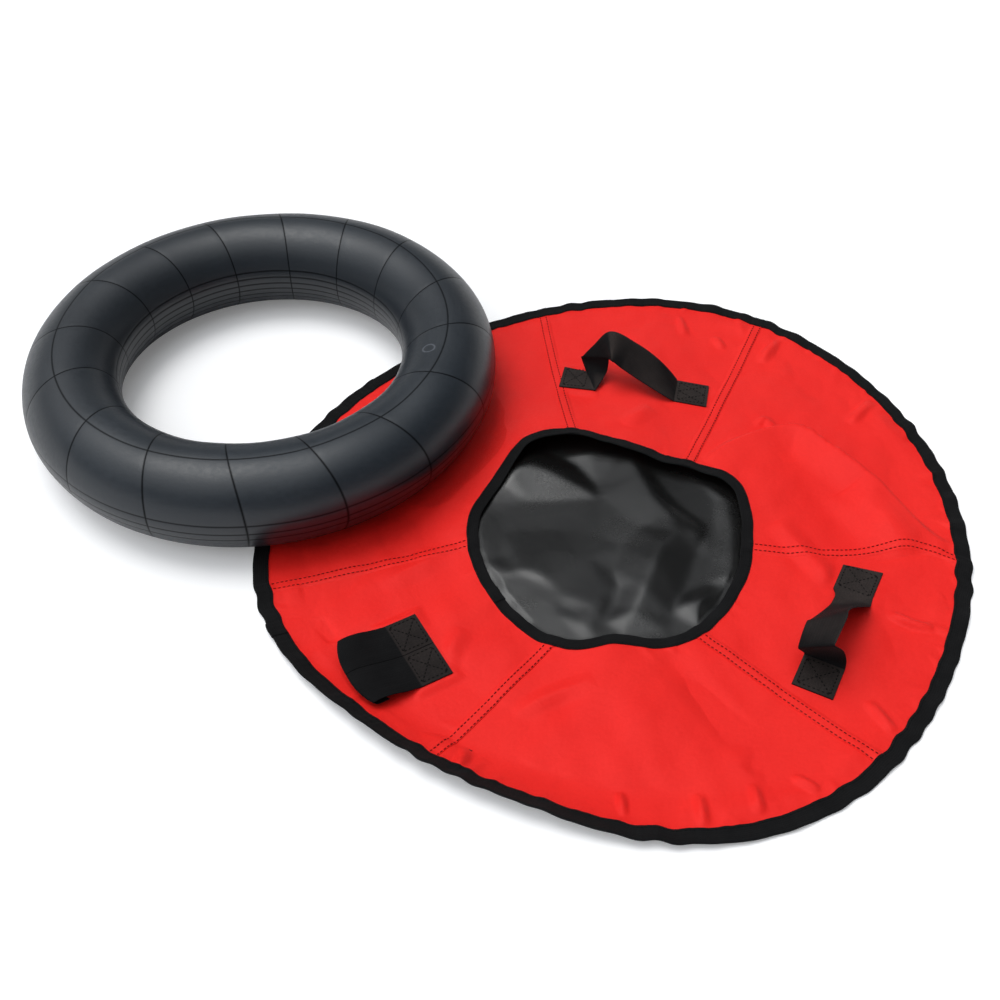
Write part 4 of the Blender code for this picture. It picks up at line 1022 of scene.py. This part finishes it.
def makeBase(name):
    columns, inner, outer = (clothGrid[key] for key in ("baseColumns", "baseInner", "baseOuter"))
    angle = np.linspace(0, 2 * math.pi, columns, endpoint=False)
    seams = np.radians(np.array(opening["seamDegrees"] + (opening["seamDegrees"][0] + 360,)))
    edges = np.radians(np.array(cover["seamDegrees"] + (cover["seamDegrees"][0] + 360,)))
    openingAngle = seams[0] + angle
    coverAngle = np.interp(openingAngle, seams, edges)
    strip = Strip(coverAngle, openingAngle)
    # The grid's inner part fills the opening, and its outer part lies under the top cloth
    hemSpan, hubReach, clearance, slope = 0.004, 0.08, 0.0012, 0.40
    rim = strip.spots(np.full((columns, 1), -hemSpan))[:, 0]
    inwards = np.linspace(clothGrid["hubShare"], 1, inner)[None, :, None]
    innerPlan = openingCentre + (rim - openingCentre)[:, None, :] * inwards
    t = np.linspace(0, 1, outer + 1)[1:]
    reach = -hemSpan + (strip.length[:, None] - clothInset + hemSpan) * t[None, :]
    outerHeight = edgeRise(strip, reach)
    plan = np.concatenate([innerPlan, strip.spots(reach)], 1)
    # Folds keep under the hem and the top cloth
    room = topUnderside(strip, reach) - outerHeight - topOverBase
    hemRoom = topUnderside(strip, np.zeros((columns, 1))) - topOverBase - gauge["tape"] - gauge["air"] * 2
    depth = np.linalg.norm(innerPlan - rim[:, None, :], axis=-1)
    room = np.concatenate([np.maximum(hemRoom, 0) + slope * depth, room - clearance], 1)
    height = np.concatenate([np.zeros((columns, inner)), outerHeight], 1)
    height = height + np.clip(baseHeight(plan), 0, np.maximum(room, 0))
    piece = gridMesh(name + "_cloth", raised(plan, height)[:, ::-1], plan[:, ::-1], closedColumns=True)
    mesh = closeHoles(piece, hubReach, split=True)
    layer = mesh.loops.layers.uv["cloth"]
    for face in mesh.faces:
        for loop in face.loops:
            loop[layer].uv = loop.vert.co.xy
    mesh.to_mesh(piece.data)
    mesh.free()
    if sum(face.normal.z for face in piece.data.polygons) < 0:
        piece.data.flip_normals()
    piece.data.shade_smooth()
    thickenCloth(piece, gauge["base"])
    dress(piece, "tarpaulin")
    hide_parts(name)
    return piece


basePiece = makeBase("slide_base")
print("base cloth laid")


# Tapes folded over the two edges

def foldedSection(width, wrapped, roundSteps=6):
    # Inset from the edge and height over the wrapped cloth's underside, from below, round the fold and over
    low, high = -gauge["air"] - gauge["tape"] / 2, wrapped + gauge["air"] + gauge["tape"] / 2
    middle, radius = (low + high) / 2, (high - low) / 2
    below = [(inset, low, 0.0) for inset in np.linspace(width, radius, 7)]
    bend = [(radius - radius * math.sin(turn), middle - radius * math.cos(turn), float(turn >= math.pi / 2))
            for turn in np.linspace(0, math.pi, roundSteps + 2)[1:-1]]
    above = [(inset, high, 1.0) for inset in np.linspace(radius, width, 9)]
    return np.array(below + bend + above)


def ringStrip(count, span=None):
    # The same columns as the panels have: even offsets at both edges beside a seam, even shares between seams
    coverAngle = np.linspace(*(span or (0, 2 * math.pi)), count, endpoint=span is not None)
    lap, step = seam["lap"], seam["step"]
    coverKnots, openingKnots = [], []
    lift, across = np.zeros((2, count))
    for number in range(-2, 8):
        coverSeam, openingSeam, coverRadius, openingRadius = seamPlace(number)
        side = -1 if number % 2 == 0 else 1
        for offset in sorted((-side * step, side * (lap + step))):
            coverKnots.append(coverSeam + offset / coverRadius)
            openingKnots.append(openingSeam + offset / openingRadius)
        past = (coverAngle - coverSeam) * coverRadius * side
        lift = np.maximum(lift, smoothStep(past, -step, 0) * (1 - smoothStep(past, lap, lap + seam["drop"])))
    openingAngle = np.interp(coverAngle, coverKnots, openingKnots)
    for start, end in zip(coverKnots[1::2], coverKnots[2::2]):
        across += np.clip((coverAngle - start) / (end - start), 0, 1) * (coverAngle < end)
    return Strip(coverAngle, openingAngle, across, lift)


def tapeGrid(strip, outer, width, grow=0.0, pucker=0.0):
    # Grow lifts the lapped end off the tape that it covers
    section = foldedSection(width, topOverBase + gauge["top"] if outer else gauge["top"])
    insets = section[:, 0][None, :] - grow + np.zeros((len(strip.cover), 1))
    reach = strip.length[:, None] - insets if outer else insets
    plan = strip.spots(reach)
    over = section[:, 2][None, :]
    topHeight = topUnderside(strip, reach)
    if outer:
        lowHeight = edgeRise(strip, reach)
        topHeight = topHeight - topOverBase
    else:
        lowHeight = topHeight - lapLift * strip.lift[:, None]
    height = lowHeight * (1 - over) + topHeight * over + section[:, 1][None, :]
    height = height + grow * (over > 0.5)
    arc = strip.cover * cover["radius"] if outer else strip.opening * opening["radius"]
    small = ripple(strip.cover, range(180, 420, 17), 51)[:, None] * pucker
    height = height + small * over * smoothStep(insets, *fades["tape"]) * tubeShade(plan)
    uvs = np.stack(np.broadcast_arrays(arc[:, None], marksAlong(section[:, :2])[None, :]), -1)
    return raised(plan, height), uvs


def makeTape(name, edge, outer):
    # A closed ring of folded tape, and over it the short lap where its two ends meet
    pucker, spare = edge["tapePucker"], 0.0002
    flip = slice(None, None, -1) if outer else slice(None)
    spots, uvs = tapeGrid(ringStrip(edge["tapeColumns"]), outer, edge["tapeWidth"], pucker=pucker)
    piece = gridMesh(name + "_tape", spots[:, flip], uvs[:, flip], closedColumns=True)
    thickenCloth(piece, gauge["tape"], 0.0)
    lapStrip = ringStrip(26, tuple(np.radians(edge["lapDegrees"])))
    spots, uvs = tapeGrid(lapStrip, outer, edge["tapeWidth"] + spare, grow=gauge["tape"] + spare,
                          pucker=pucker)
    lap = gridMesh(name + "_lap", spots[:, flip], uvs[:, flip])
    thickenCloth(lap, gauge["tape"], 0.0)
    joinPieces(piece, lap)
    dress(piece, "black_tape")
    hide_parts(name)


makeTape("edge_binding", cover, True)
makeTape("opening_binding", opening, False)
print("tapes folded over both edges")


# Webbing straps: a closed section swept along a line that has a width direction at each place

def smoothAlong(values, shares, share, folds=()):
    # A curve through unevenly spaced values, which turns tightly at a fold
    def slope(index):
        sides = [other for other in (index - 1, index + 1) if 0 <= other < len(values)]
        rates = [(values[other] - values[index]) / (shares[other] - shares[index]) for other in sides]
        return sum(rates) / len(rates) * (0.35 if index in folds else 1)

    start = max(index for index in range(len(shares) - 1) if shares[index] <= share or index == 0)
    span = shares[start + 1] - shares[start]
    return curveBetween(values[start], slope(start) * span, values[start + 1], slope(start + 1) * span,
                        (share - shares[start]) / span)


def strapSection(width, thickness):
    # Round edged, a little thinner at the selvedges
    half, t, thinning, selvedge = width / 2, thickness / 2, 0.18, 0.85
    top = [(across, t * (1 - thinning * abs(across / half) ** 6))
           for across in np.linspace(half - t, -half + t, 17)]
    left = [(-half + t - t * math.sin(turn), t * selvedge * math.cos(turn))
            for turn in np.linspace(0, math.pi, 5)[1:-1]]
    return np.array(top + left + [(-across, -height) for across, height in top + left])


def sweepStrap(name, line, sides, width):
    # The sides reach from one selvedge to the other as shares of the width
    line, sides = np.array(line), np.array(sides)
    section = strapSection(width, gauge["web"] - gauge["hair"])
    up = np.cross(np.gradient(line, axis=0), sides)
    up /= np.linalg.norm(up, axis=1)[:, None]
    spots = (line[:, None, :] + sides[:, None, :] * section[None, :, :1]
             + up[:, None, :] * section[None, :, 1:])
    uvs = np.stack(np.broadcast_arrays(marksAlong(line)[:, None], section[None, :, 0]), -1)
    piece = gridMesh(name, spots, uvs, closedRows=True)
    mesh = closeHoles(piece)
    mesh.to_mesh(piece.data)
    mesh.free()
    piece.data.shade_smooth()
    piece.data.set_sharp_from_angle(angle=math.radians(60))
    return piece


# Stations of the two handles: the strap's middle and its width from selvedge to selvedge, both in metres
handles = {
    "top_handle": {"width": 0.048, "folds": (2,), "rimTurn": (0, 0), "stations": (
        ((-0.0191, 0.2504, 0.0112), (-0.0097, 0.0459, 0.0000)),
        ((-0.0144, 0.2677, 0.0263), (-0.0340, 0.0343, -0.0033)),
        ((-0.0128, 0.2665, 0.0401), (-0.0341, 0.0279, -0.0196)),
        ((-0.0033, 0.2606, 0.0507), (-0.0247, 0.0415, -0.0036)),
        ((0.0052, 0.2571, 0.0673), (-0.0014, 0.0466, 0.0126)),
        ((0.0303, 0.2513, 0.0553), (0.0198, 0.0407, 0.0137)),
        ((0.0951, 0.2293, 0.0127), (0.0101, 0.0470, -0.0004)),
        ((0.0969, 0.2298, 0.0110), (0.0097, 0.0470, 0.0000)),
    )},
    "right_handle": {"width": 0.048, "folds": (2, 5), "rimTurn": (11, 0), "stations": (
        ((0.2742, -0.1350, 0.0072), (-0.0438, 0.0168, 0.0000)),
        ((0.2716, -0.1473, 0.0084), (-0.0396, 0.0163, 0.0009)),
        ((0.2645, -0.1608, 0.0154), (-0.0414, 0.0142, -0.0122)),
        ((0.2237, -0.2104, 0.0571), (-0.0369, 0.0092, -0.0283)),
        ((0.2178, -0.2218, 0.0641), (-0.0389, 0.0131, -0.0250)),
        ((0.2006, -0.2567, 0.0605), (-0.0321, 0.0197, -0.0287)),
        ((0.2233, -0.2348, 0.0094), (-0.0439, 0.0178, -0.0035)),
        ((0.2226, -0.2367, 0.0070), (-0.0428, 0.0217, 0.0000)),
    )},
}


def plateEdge(plate, side=1):
    # The middle of a plate's outer edge, or of its inner one
    return plate["middle"] + plate["along"] * side * plate["size"][0] / 2


def makeHandle(name):
    handle = handles[name]
    ends = [(plates[plateName], end) for plateName, end in zip(strapPlates[name][:2], (0, -1))]
    stations = [np.array(middle) for middle, _ in handle["stations"]]
    widths = [np.array(width) / handle["width"] for _, width in handle["stations"]]
    for plate, end in ends:
        # The ends lie in the planes of the sewn plates
        up = plate["up"]
        stations[end][2] = plate["middle"][2] - (stations[end] - plate["middle"])[:2] @ up[:2] / up[2]
        widths[end][2] = -widths[end][:2] @ up[:2] / up[2]
    shares = marksAlong(stations) / marksAlong(stations)[-1]
    line, sides = ([smoothAlong(values, shares, step, handle["folds"]) for step in np.linspace(0, 1, 160)]
                   for values in (stations, widths))
    for plate, end in ends:
        # A sewn end runs from the plate's far end to the strap's first or last station
        rim = plateEdge(plate, -1 if end == 0 else 1)
        across = plate["across"] * np.sign(plate["across"] @ widths[end])
        turn = Matrix.Rotation(math.radians(handle["rimTurn"][end]), 3, Vector(plate["up"]))
        across = np.array(turn @ Vector(across))
        steps = np.linspace(0, 1, 24)[:-1]
        sewnLine = [rim + (stations[end] - rim) * step for step in steps]
        sewnSides = [across + (widths[end] - across) * step for step in steps]
        if end == 0:
            line, sides = sewnLine + line, sewnSides + sides
        else:
            line, sides = line + sewnLine[::-1], sides + sewnSides[::-1]
    piece = sweepStrap(name + "_strap", line, sides, handle["width"])
    dress(piece, "handle_webbing_finish", body=None)
    parts = ("first_end", "second_end", "first_leg", "grip", "second_leg")
    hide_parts(*(f"{name}_{part}" for part in parts))
    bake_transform(piece)


for name in handles:
    makeHandle(name)

# The tow strap in metres, with its stations as shares of its reach past the sewn plate and of its rise
towStrap = {
    "width": 0.0478, "start": 0.0004, "reach": 0.070, "rise": 0.0125, "cornerIn": 0.011, "cornerDown": 0.003,
    "cornerReach": (0.012, 0.055), "cornerHeight": (0.014, 0.030), "cornerPower": 2.5, "blend": 0.012,
    "stations": ((0.01, 0.02), (0.30, 0.40), (0.62, 0.90), (0.84, 1.12), (0.97, 0.92), (0.92, 0.50),
                 (0.70, 0.36)),
}


def roundRoll(piece):
    # The rolled end is drawn in at both corners
    pair = [plates[name] for name in strapPlates["tow_strap"][:2]]
    along, across, size = (pair[0][key] for key in ("along", "across", "size"))
    middle = (pair[0]["middle"] + pair[1]["middle"]) / 2 + along * size[0] / 2
    spots = np.array([tuple(vert.co) for vert in piece.data.vertices])
    reach = (spots - middle) @ along
    aside = (spots - middle) @ across / towStrap["width"]
    drawn = np.abs(aside) ** towStrap["cornerPower"] * smoothStep(reach, *towStrap["cornerReach"])
    spots = spots - along * (towStrap["cornerIn"] * drawn)[:, None]
    spots[:, 2] -= towStrap["cornerDown"] * drawn * smoothStep(spots[:, 2], *towStrap["cornerHeight"])
    piece.data.vertices.foreach_set("co", spots.reshape(-1))
    piece.data.update()


def makeTowStrap():
    legs = []
    for name in strapPlates["tow_strap"][:2]:
        plate = plates[name]
        along, up = plate["along"], plate["up"]
        root = plateEdge(plate)
        stations = [root + along * (reach * towStrap["reach"] + towStrap["start"])
                    + up * rise * towStrap["rise"] for reach, rise in towStrap["stations"]]
        shares = marksAlong(stations) / marksAlong(stations)[-1]
        line = [root - along * plate["size"][0] * step for step in np.linspace(1, 0, 20)[:-1]]
        line += [smoothAlong(stations, shares, step) for step in np.linspace(0, 1, 80)]
        legs.append(sweepStrap(name + "_leg", line, [plate["across"]] * len(line), towStrap["width"]))
    piece = joinPieces(*legs)
    piece.name = "tow_strap"
    roundRoll(piece)
    dress(piece, "black_webbing", body=None)
    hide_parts("tow_strap_first_end", "tow_strap_second_end", "tow_strap_loop")
    plate = plates["tow_strap_first_end"]
    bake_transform(piece)


makeTowStrap()
print("straps sewn on")


# Stitches: one thread float, copied along each row

# Each kind's length, width and height in metres, the pitch in lengths, and boxes in a plate's half sizes
stitch = {
    "seam": (0.0039, 0.0015, 0.0008), "strap": (0.0034, 0.0014, 0.0008), "tape": (0.0032, 0.0008, 0.0005),
    "pitch": 1.42, "boxEdge": 0.80, "shortBoxEdge": 0.54, "overSeam": 0.00012, "overTape": 0.0001,
    "fromTape": 0.001, "tapeInset": (0.0028, 0.0024),
}


def stitchRow(points, ups, length):
    # Frames at even steps along a line of points: middle, heading and up
    points, ups = np.array(points), np.array(ups)
    marks = marksAlong(points)

    def at(place, values):
        place = np.clip(place, 0, marks[-1])
        return np.array([np.interp(place, marks, values[:, axis]) for axis in range(3)])

    count = max(1, int(marks[-1] // (length * stitch["pitch"])))
    found = []
    for place in (np.arange(count) + 0.5) * marks[-1] / count:
        run = at(place + length / 2, points) - at(place - length / 2, points)
        heading = run / np.linalg.norm(run)
        aside = np.cross(at(place, ups), heading)
        aside /= np.linalg.norm(aside)
        found.append((at(place, points), heading, aside, np.cross(heading, aside)))
    return found


def sewStitches(name, rows, size, finish):
    bpy.ops.object.select_all(action="DESELECT")
    bpy.ops.mesh.primitive_uv_sphere_add(segments=6, ring_count=4, radius=0.5, location=(0, 0, 0),
                                         rotation=(0, math.pi / 2, 0))
    template = bpy.context.object
    bpy.ops.object.transform_apply(location=True, rotation=True, scale=True)
    shape = np.array([tuple(vert.co) for vert in template.data.vertices]) * np.array(size)
    faces = [tuple(face.vertices) for face in template.data.polygons]
    bpy.data.objects.remove(template)
    spots, quads = [], []
    for middle, heading, aside, up in rows:
        offset = len(spots) * len(shape)
        spots.append(middle + shape @ np.stack([heading, aside, up]))
        quads += [tuple(index + offset for index in face) for face in faces]
    mesh = bpy.data.meshes.new(name)
    mesh.from_pydata(np.concatenate(spots).tolist(), [], quads)
    mesh.shade_smooth()
    piece = bpy.data.objects.new(name, mesh)
    scene.collection.objects.link(piece)
    dress(piece, finish)


def flatRow(points, length):
    return stitchRow(points, np.tile([0, 0, 1.0], (len(points), 1)), length)


def seamStitches():
    found = []
    for number in range(6):
        coverSeam, openingSeam, coverRadius, openingRadius = seamPlace(number)
        side = -1 if number % 2 == 0 else 1
        for gap in seam["rows"]:
            offset = side * gap
            angles = coverSeam + offset / coverRadius, openingSeam + offset / openingRadius
            strip = Strip([angles[0]], [angles[1]], lift=1.0)
            outerEnd = float(strip.length[0]) - cover["tapeWidth"] - stitch["fromTape"]
            reach = np.linspace(opening["tapeWidth"] + stitch["fromTape"], outerEnd, 160)[None, :]
            level = topUnderside(strip, reach) + gauge["top"] + stitch["overSeam"]
            found += flatRow(raised(strip.spots(reach), level)[0], stitch["seam"][0])
    return found


def tapeStitches():
    found = []
    for edge, fromTape, count in zip((cover, opening), stitch["tapeInset"], (1400, 800)):
        strip = ringStrip(count)
        inset = edge["tapeWidth"] - fromTape
        reach = (strip.length - inset if edge is cover else np.full(count, inset))[:, None]
        level = topUnderside(strip, reach) + gauge["top"] + gauge["air"] + gauge["tape"] + stitch["overTape"]
        points = raised(strip.spots(reach), level)[:, 0]
        found += flatRow(np.vstack([points, points[:1]]), stitch["tape"][0])
    return found


def plateLine(plate, start, end):
    # A straight row on a plate, its ends in shares of the plate's half sizes
    points = []
    lift = plate["up"] * (gauge["web"] / 2 + gauge["hair"])
    for share in np.linspace(0, 1, 12):
        u = (start[0] + (end[0] - start[0]) * share) * plate["size"][0] / 2
        v = (start[1] + (end[1] - start[1]) * share) * plate["size"][1] / 2
        points.append(plate["middle"] + plate["along"] * u + plate["across"] * v + lift)
    return stitchRow(points, np.tile(plate["up"], (len(points), 1)), stitch["strap"][0])


def boxStitches(plate, crosses, last):
    # A stitched box with one or two crosses in it
    edge = stitch["boxEdge"]
    corners = [(-edge, -edge), (last, -edge), (last, edge), (-edge, edge)]
    found = []
    for start, end in zip(corners, corners[1:] + corners[:1]):
        found += plateLine(plate, start, end)
    for cross in range(crosses):
        low, high = (-edge + 2 * edge * row / crosses for row in (cross, cross + 1))
        found += plateLine(plate, (-edge, low), (last, high))
        found += plateLine(plate, (-edge, high), (last, low))
    return found


strapRows = []
for plateName, plate in plates.items():
    # The first end of the top handle's strap turns up before its plate ends
    last = stitch["shortBoxEdge"] if plateName == "top_handle_first_end" else stitch["boxEdge"]
    strapRows += boxStitches(plate, 2 if plateName == "top_handle_second_end" else 1, last)
sewStitches("seam_stitching", seamStitches(), stitch["seam"], "red_thread")
sewStitches("tape_stitching", tapeStitches(), stitch["tape"], "black_thread")
sewStitches("strap_stitching", strapRows, stitch["strap"], "black_thread")
print("stitches sewn")


# Inner tube: a torus whose rings and rows are moved onto the mould lines

# Rings and rows are angles in degrees round the tube and round its section, and the crest line sways
mould = {
    "rings": (0.5, 22.6, 45.5, 67.4, 89.2, 112.3, 133.6, 155.2, 179.3, 201.0, 224.4, 247.2, 269.7, 291.9,
              314.2, 337.5),
    "rows": (-178.0, -169.0, -160.0, -151.0, -14.0, -4.0, 8.0, 84.0, 164.0, 173.0),
    "crest": 84, "crestSpread": 34, "crestSway": 6.0, "crestTurn": 330.0, "slant": 4.2,
    "depth": 0.00016, "half": 0.00078, "rowDepth": 0.9, "uneven": 0.0006, "unevenSize": (0.14, 61),
    "ringCount": 256, "rowCount": 108,
}


def spreadOver(lines, halfWidth, total, period):
    # Places round a full turn, five of them at each line and the rest shared out, with 1 on each line
    lines = np.sort(np.array(lines))
    gaps = np.diff(np.append(lines, lines[0] + period))
    steps, depths = (-2.4, -1, 0, 1, 2.4), (0, 0.6, 1, 0.6, 0)
    free = total - len(steps) * len(lines)
    counts = np.maximum(1, np.round(gaps / period * free).astype(int))
    while counts.sum() != free:
        short = counts.sum() < free
        counts[np.argmax(gaps / counts) if short else np.argmin(gaps / counts)] += 1 if short else -1
    places, marks = [], []
    for line, gap, count in zip(lines, gaps, counts):
        places += [line + step * halfWidth for step in steps]
        shared = np.linspace(line + steps[-1] * halfWidth, line + gap + steps[0] * halfWidth, count + 2)
        places += list(shared[1:-1])
        marks += [*depths, *([0] * count)]
    return np.array(places), np.array(marks, float)


def makeTube(name):
    ringCount, rowCount = mould["ringCount"], mould["rowCount"]
    bpy.ops.object.select_all(action="DESELECT")
    bpy.ops.mesh.primitive_torus_add(major_radius=tube["ring"], minor_radius=tube["section"],
                                     major_segments=ringCount, minor_segments=rowCount, location=(0, 0, 0))
    piece = bpy.context.object
    piece.name = "inflated_tube"
    rings, ringMarks = spreadOver(mould["rings"], math.degrees(mould["half"] / tube["ring"]), ringCount, 360)
    rows, rowMarks = spreadOver(mould["rows"], math.degrees(mould["half"] / tube["section"]), rowCount, 360)
    ring = np.radians(rings)[:, None] + np.zeros((1, rowCount))
    row = np.radians(rows)[None, :] + np.zeros((ringCount, 1))
    crest = np.exp(-((np.degrees(row) - mould["crest"]) / mould["crestSpread"]) ** 2)
    row = row + np.radians(mould["crestSway"]) * np.cos(ring - math.radians(mould["crestTurn"])) * crest
    ring = ring + math.radians(mould["slant"]) * np.cos(row)
    groove = np.maximum(ringMarks[:, None], rowMarks[None, :] * mould["rowDepth"])
    spots = np.stack([np.cos(ring), np.sin(ring)], -1) * tube["ring"]
    slow = waves(spots + np.stack([np.cos(row), np.sin(row)], -1) * tube["section"], *mould["unevenSize"])
    radius = tube["section"] - mould["depth"] * groove + mould["uneven"] * slow * (0.5 + 0.5 * np.sin(row))
    out = tube["ring"] + radius * np.cos(row)
    local = np.stack([out * np.cos(ring), out * np.sin(ring), radius * np.sin(row)], -1).reshape(-1, 3)
    lean = Matrix.Rotation(-tubeTilt, 4, Vector((-toCover[1], toCover[0], 0)))
    holder = Matrix.Translation((tube["x"], tube["y"], tube["section"] + tube["ring"] * tubeTilt)) @ lean
    turn = np.array(holder.to_3x3())
    placed = local @ turn.T + np.array(holder.translation)
    piece.data.vertices.foreach_set("co", placed.reshape(-1))
    # This mask also carries the mould lines' painted shade in the rubber's colour
    marks = piece.data.attributes.new("mould", "FLOAT", "POINT")
    marks.data.foreach_set("value", groove.reshape(-1).astype(np.float32))
    piece.data.update()
    bpy.ops.object.mode_set(mode="EDIT")
    bpy.ops.mesh.select_all(action="SELECT")
    bpy.ops.mesh.normals_make_consistent(inside=False)
    bpy.ops.object.mode_set(mode="OBJECT")
    piece.data.shade_smooth()
    dress(piece, "tube_rubber", body="tube")
    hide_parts(name)


makeTube("inner_tube")
print("tube inflated")


# Finishes of the valve's own pieces

valveNodes = {"valve_rubber": ("valve_pad", "valve_stem", "cap_seal"), "brass": ("valve_core",),
              "steel": ("valve_pin", "valve_spring"), "cap_plastic": ("valve_cap",)}
for finish, nodeNames in valveNodes.items():
    for nodeName in nodeNames:
        for place in nodes[nodeName].material_slots:
            place.material = finishes[finish]


# What each sheet of cloth was cut to

for piece in panelPieces:
    flatSize(piece)
flatSize(basePiece)
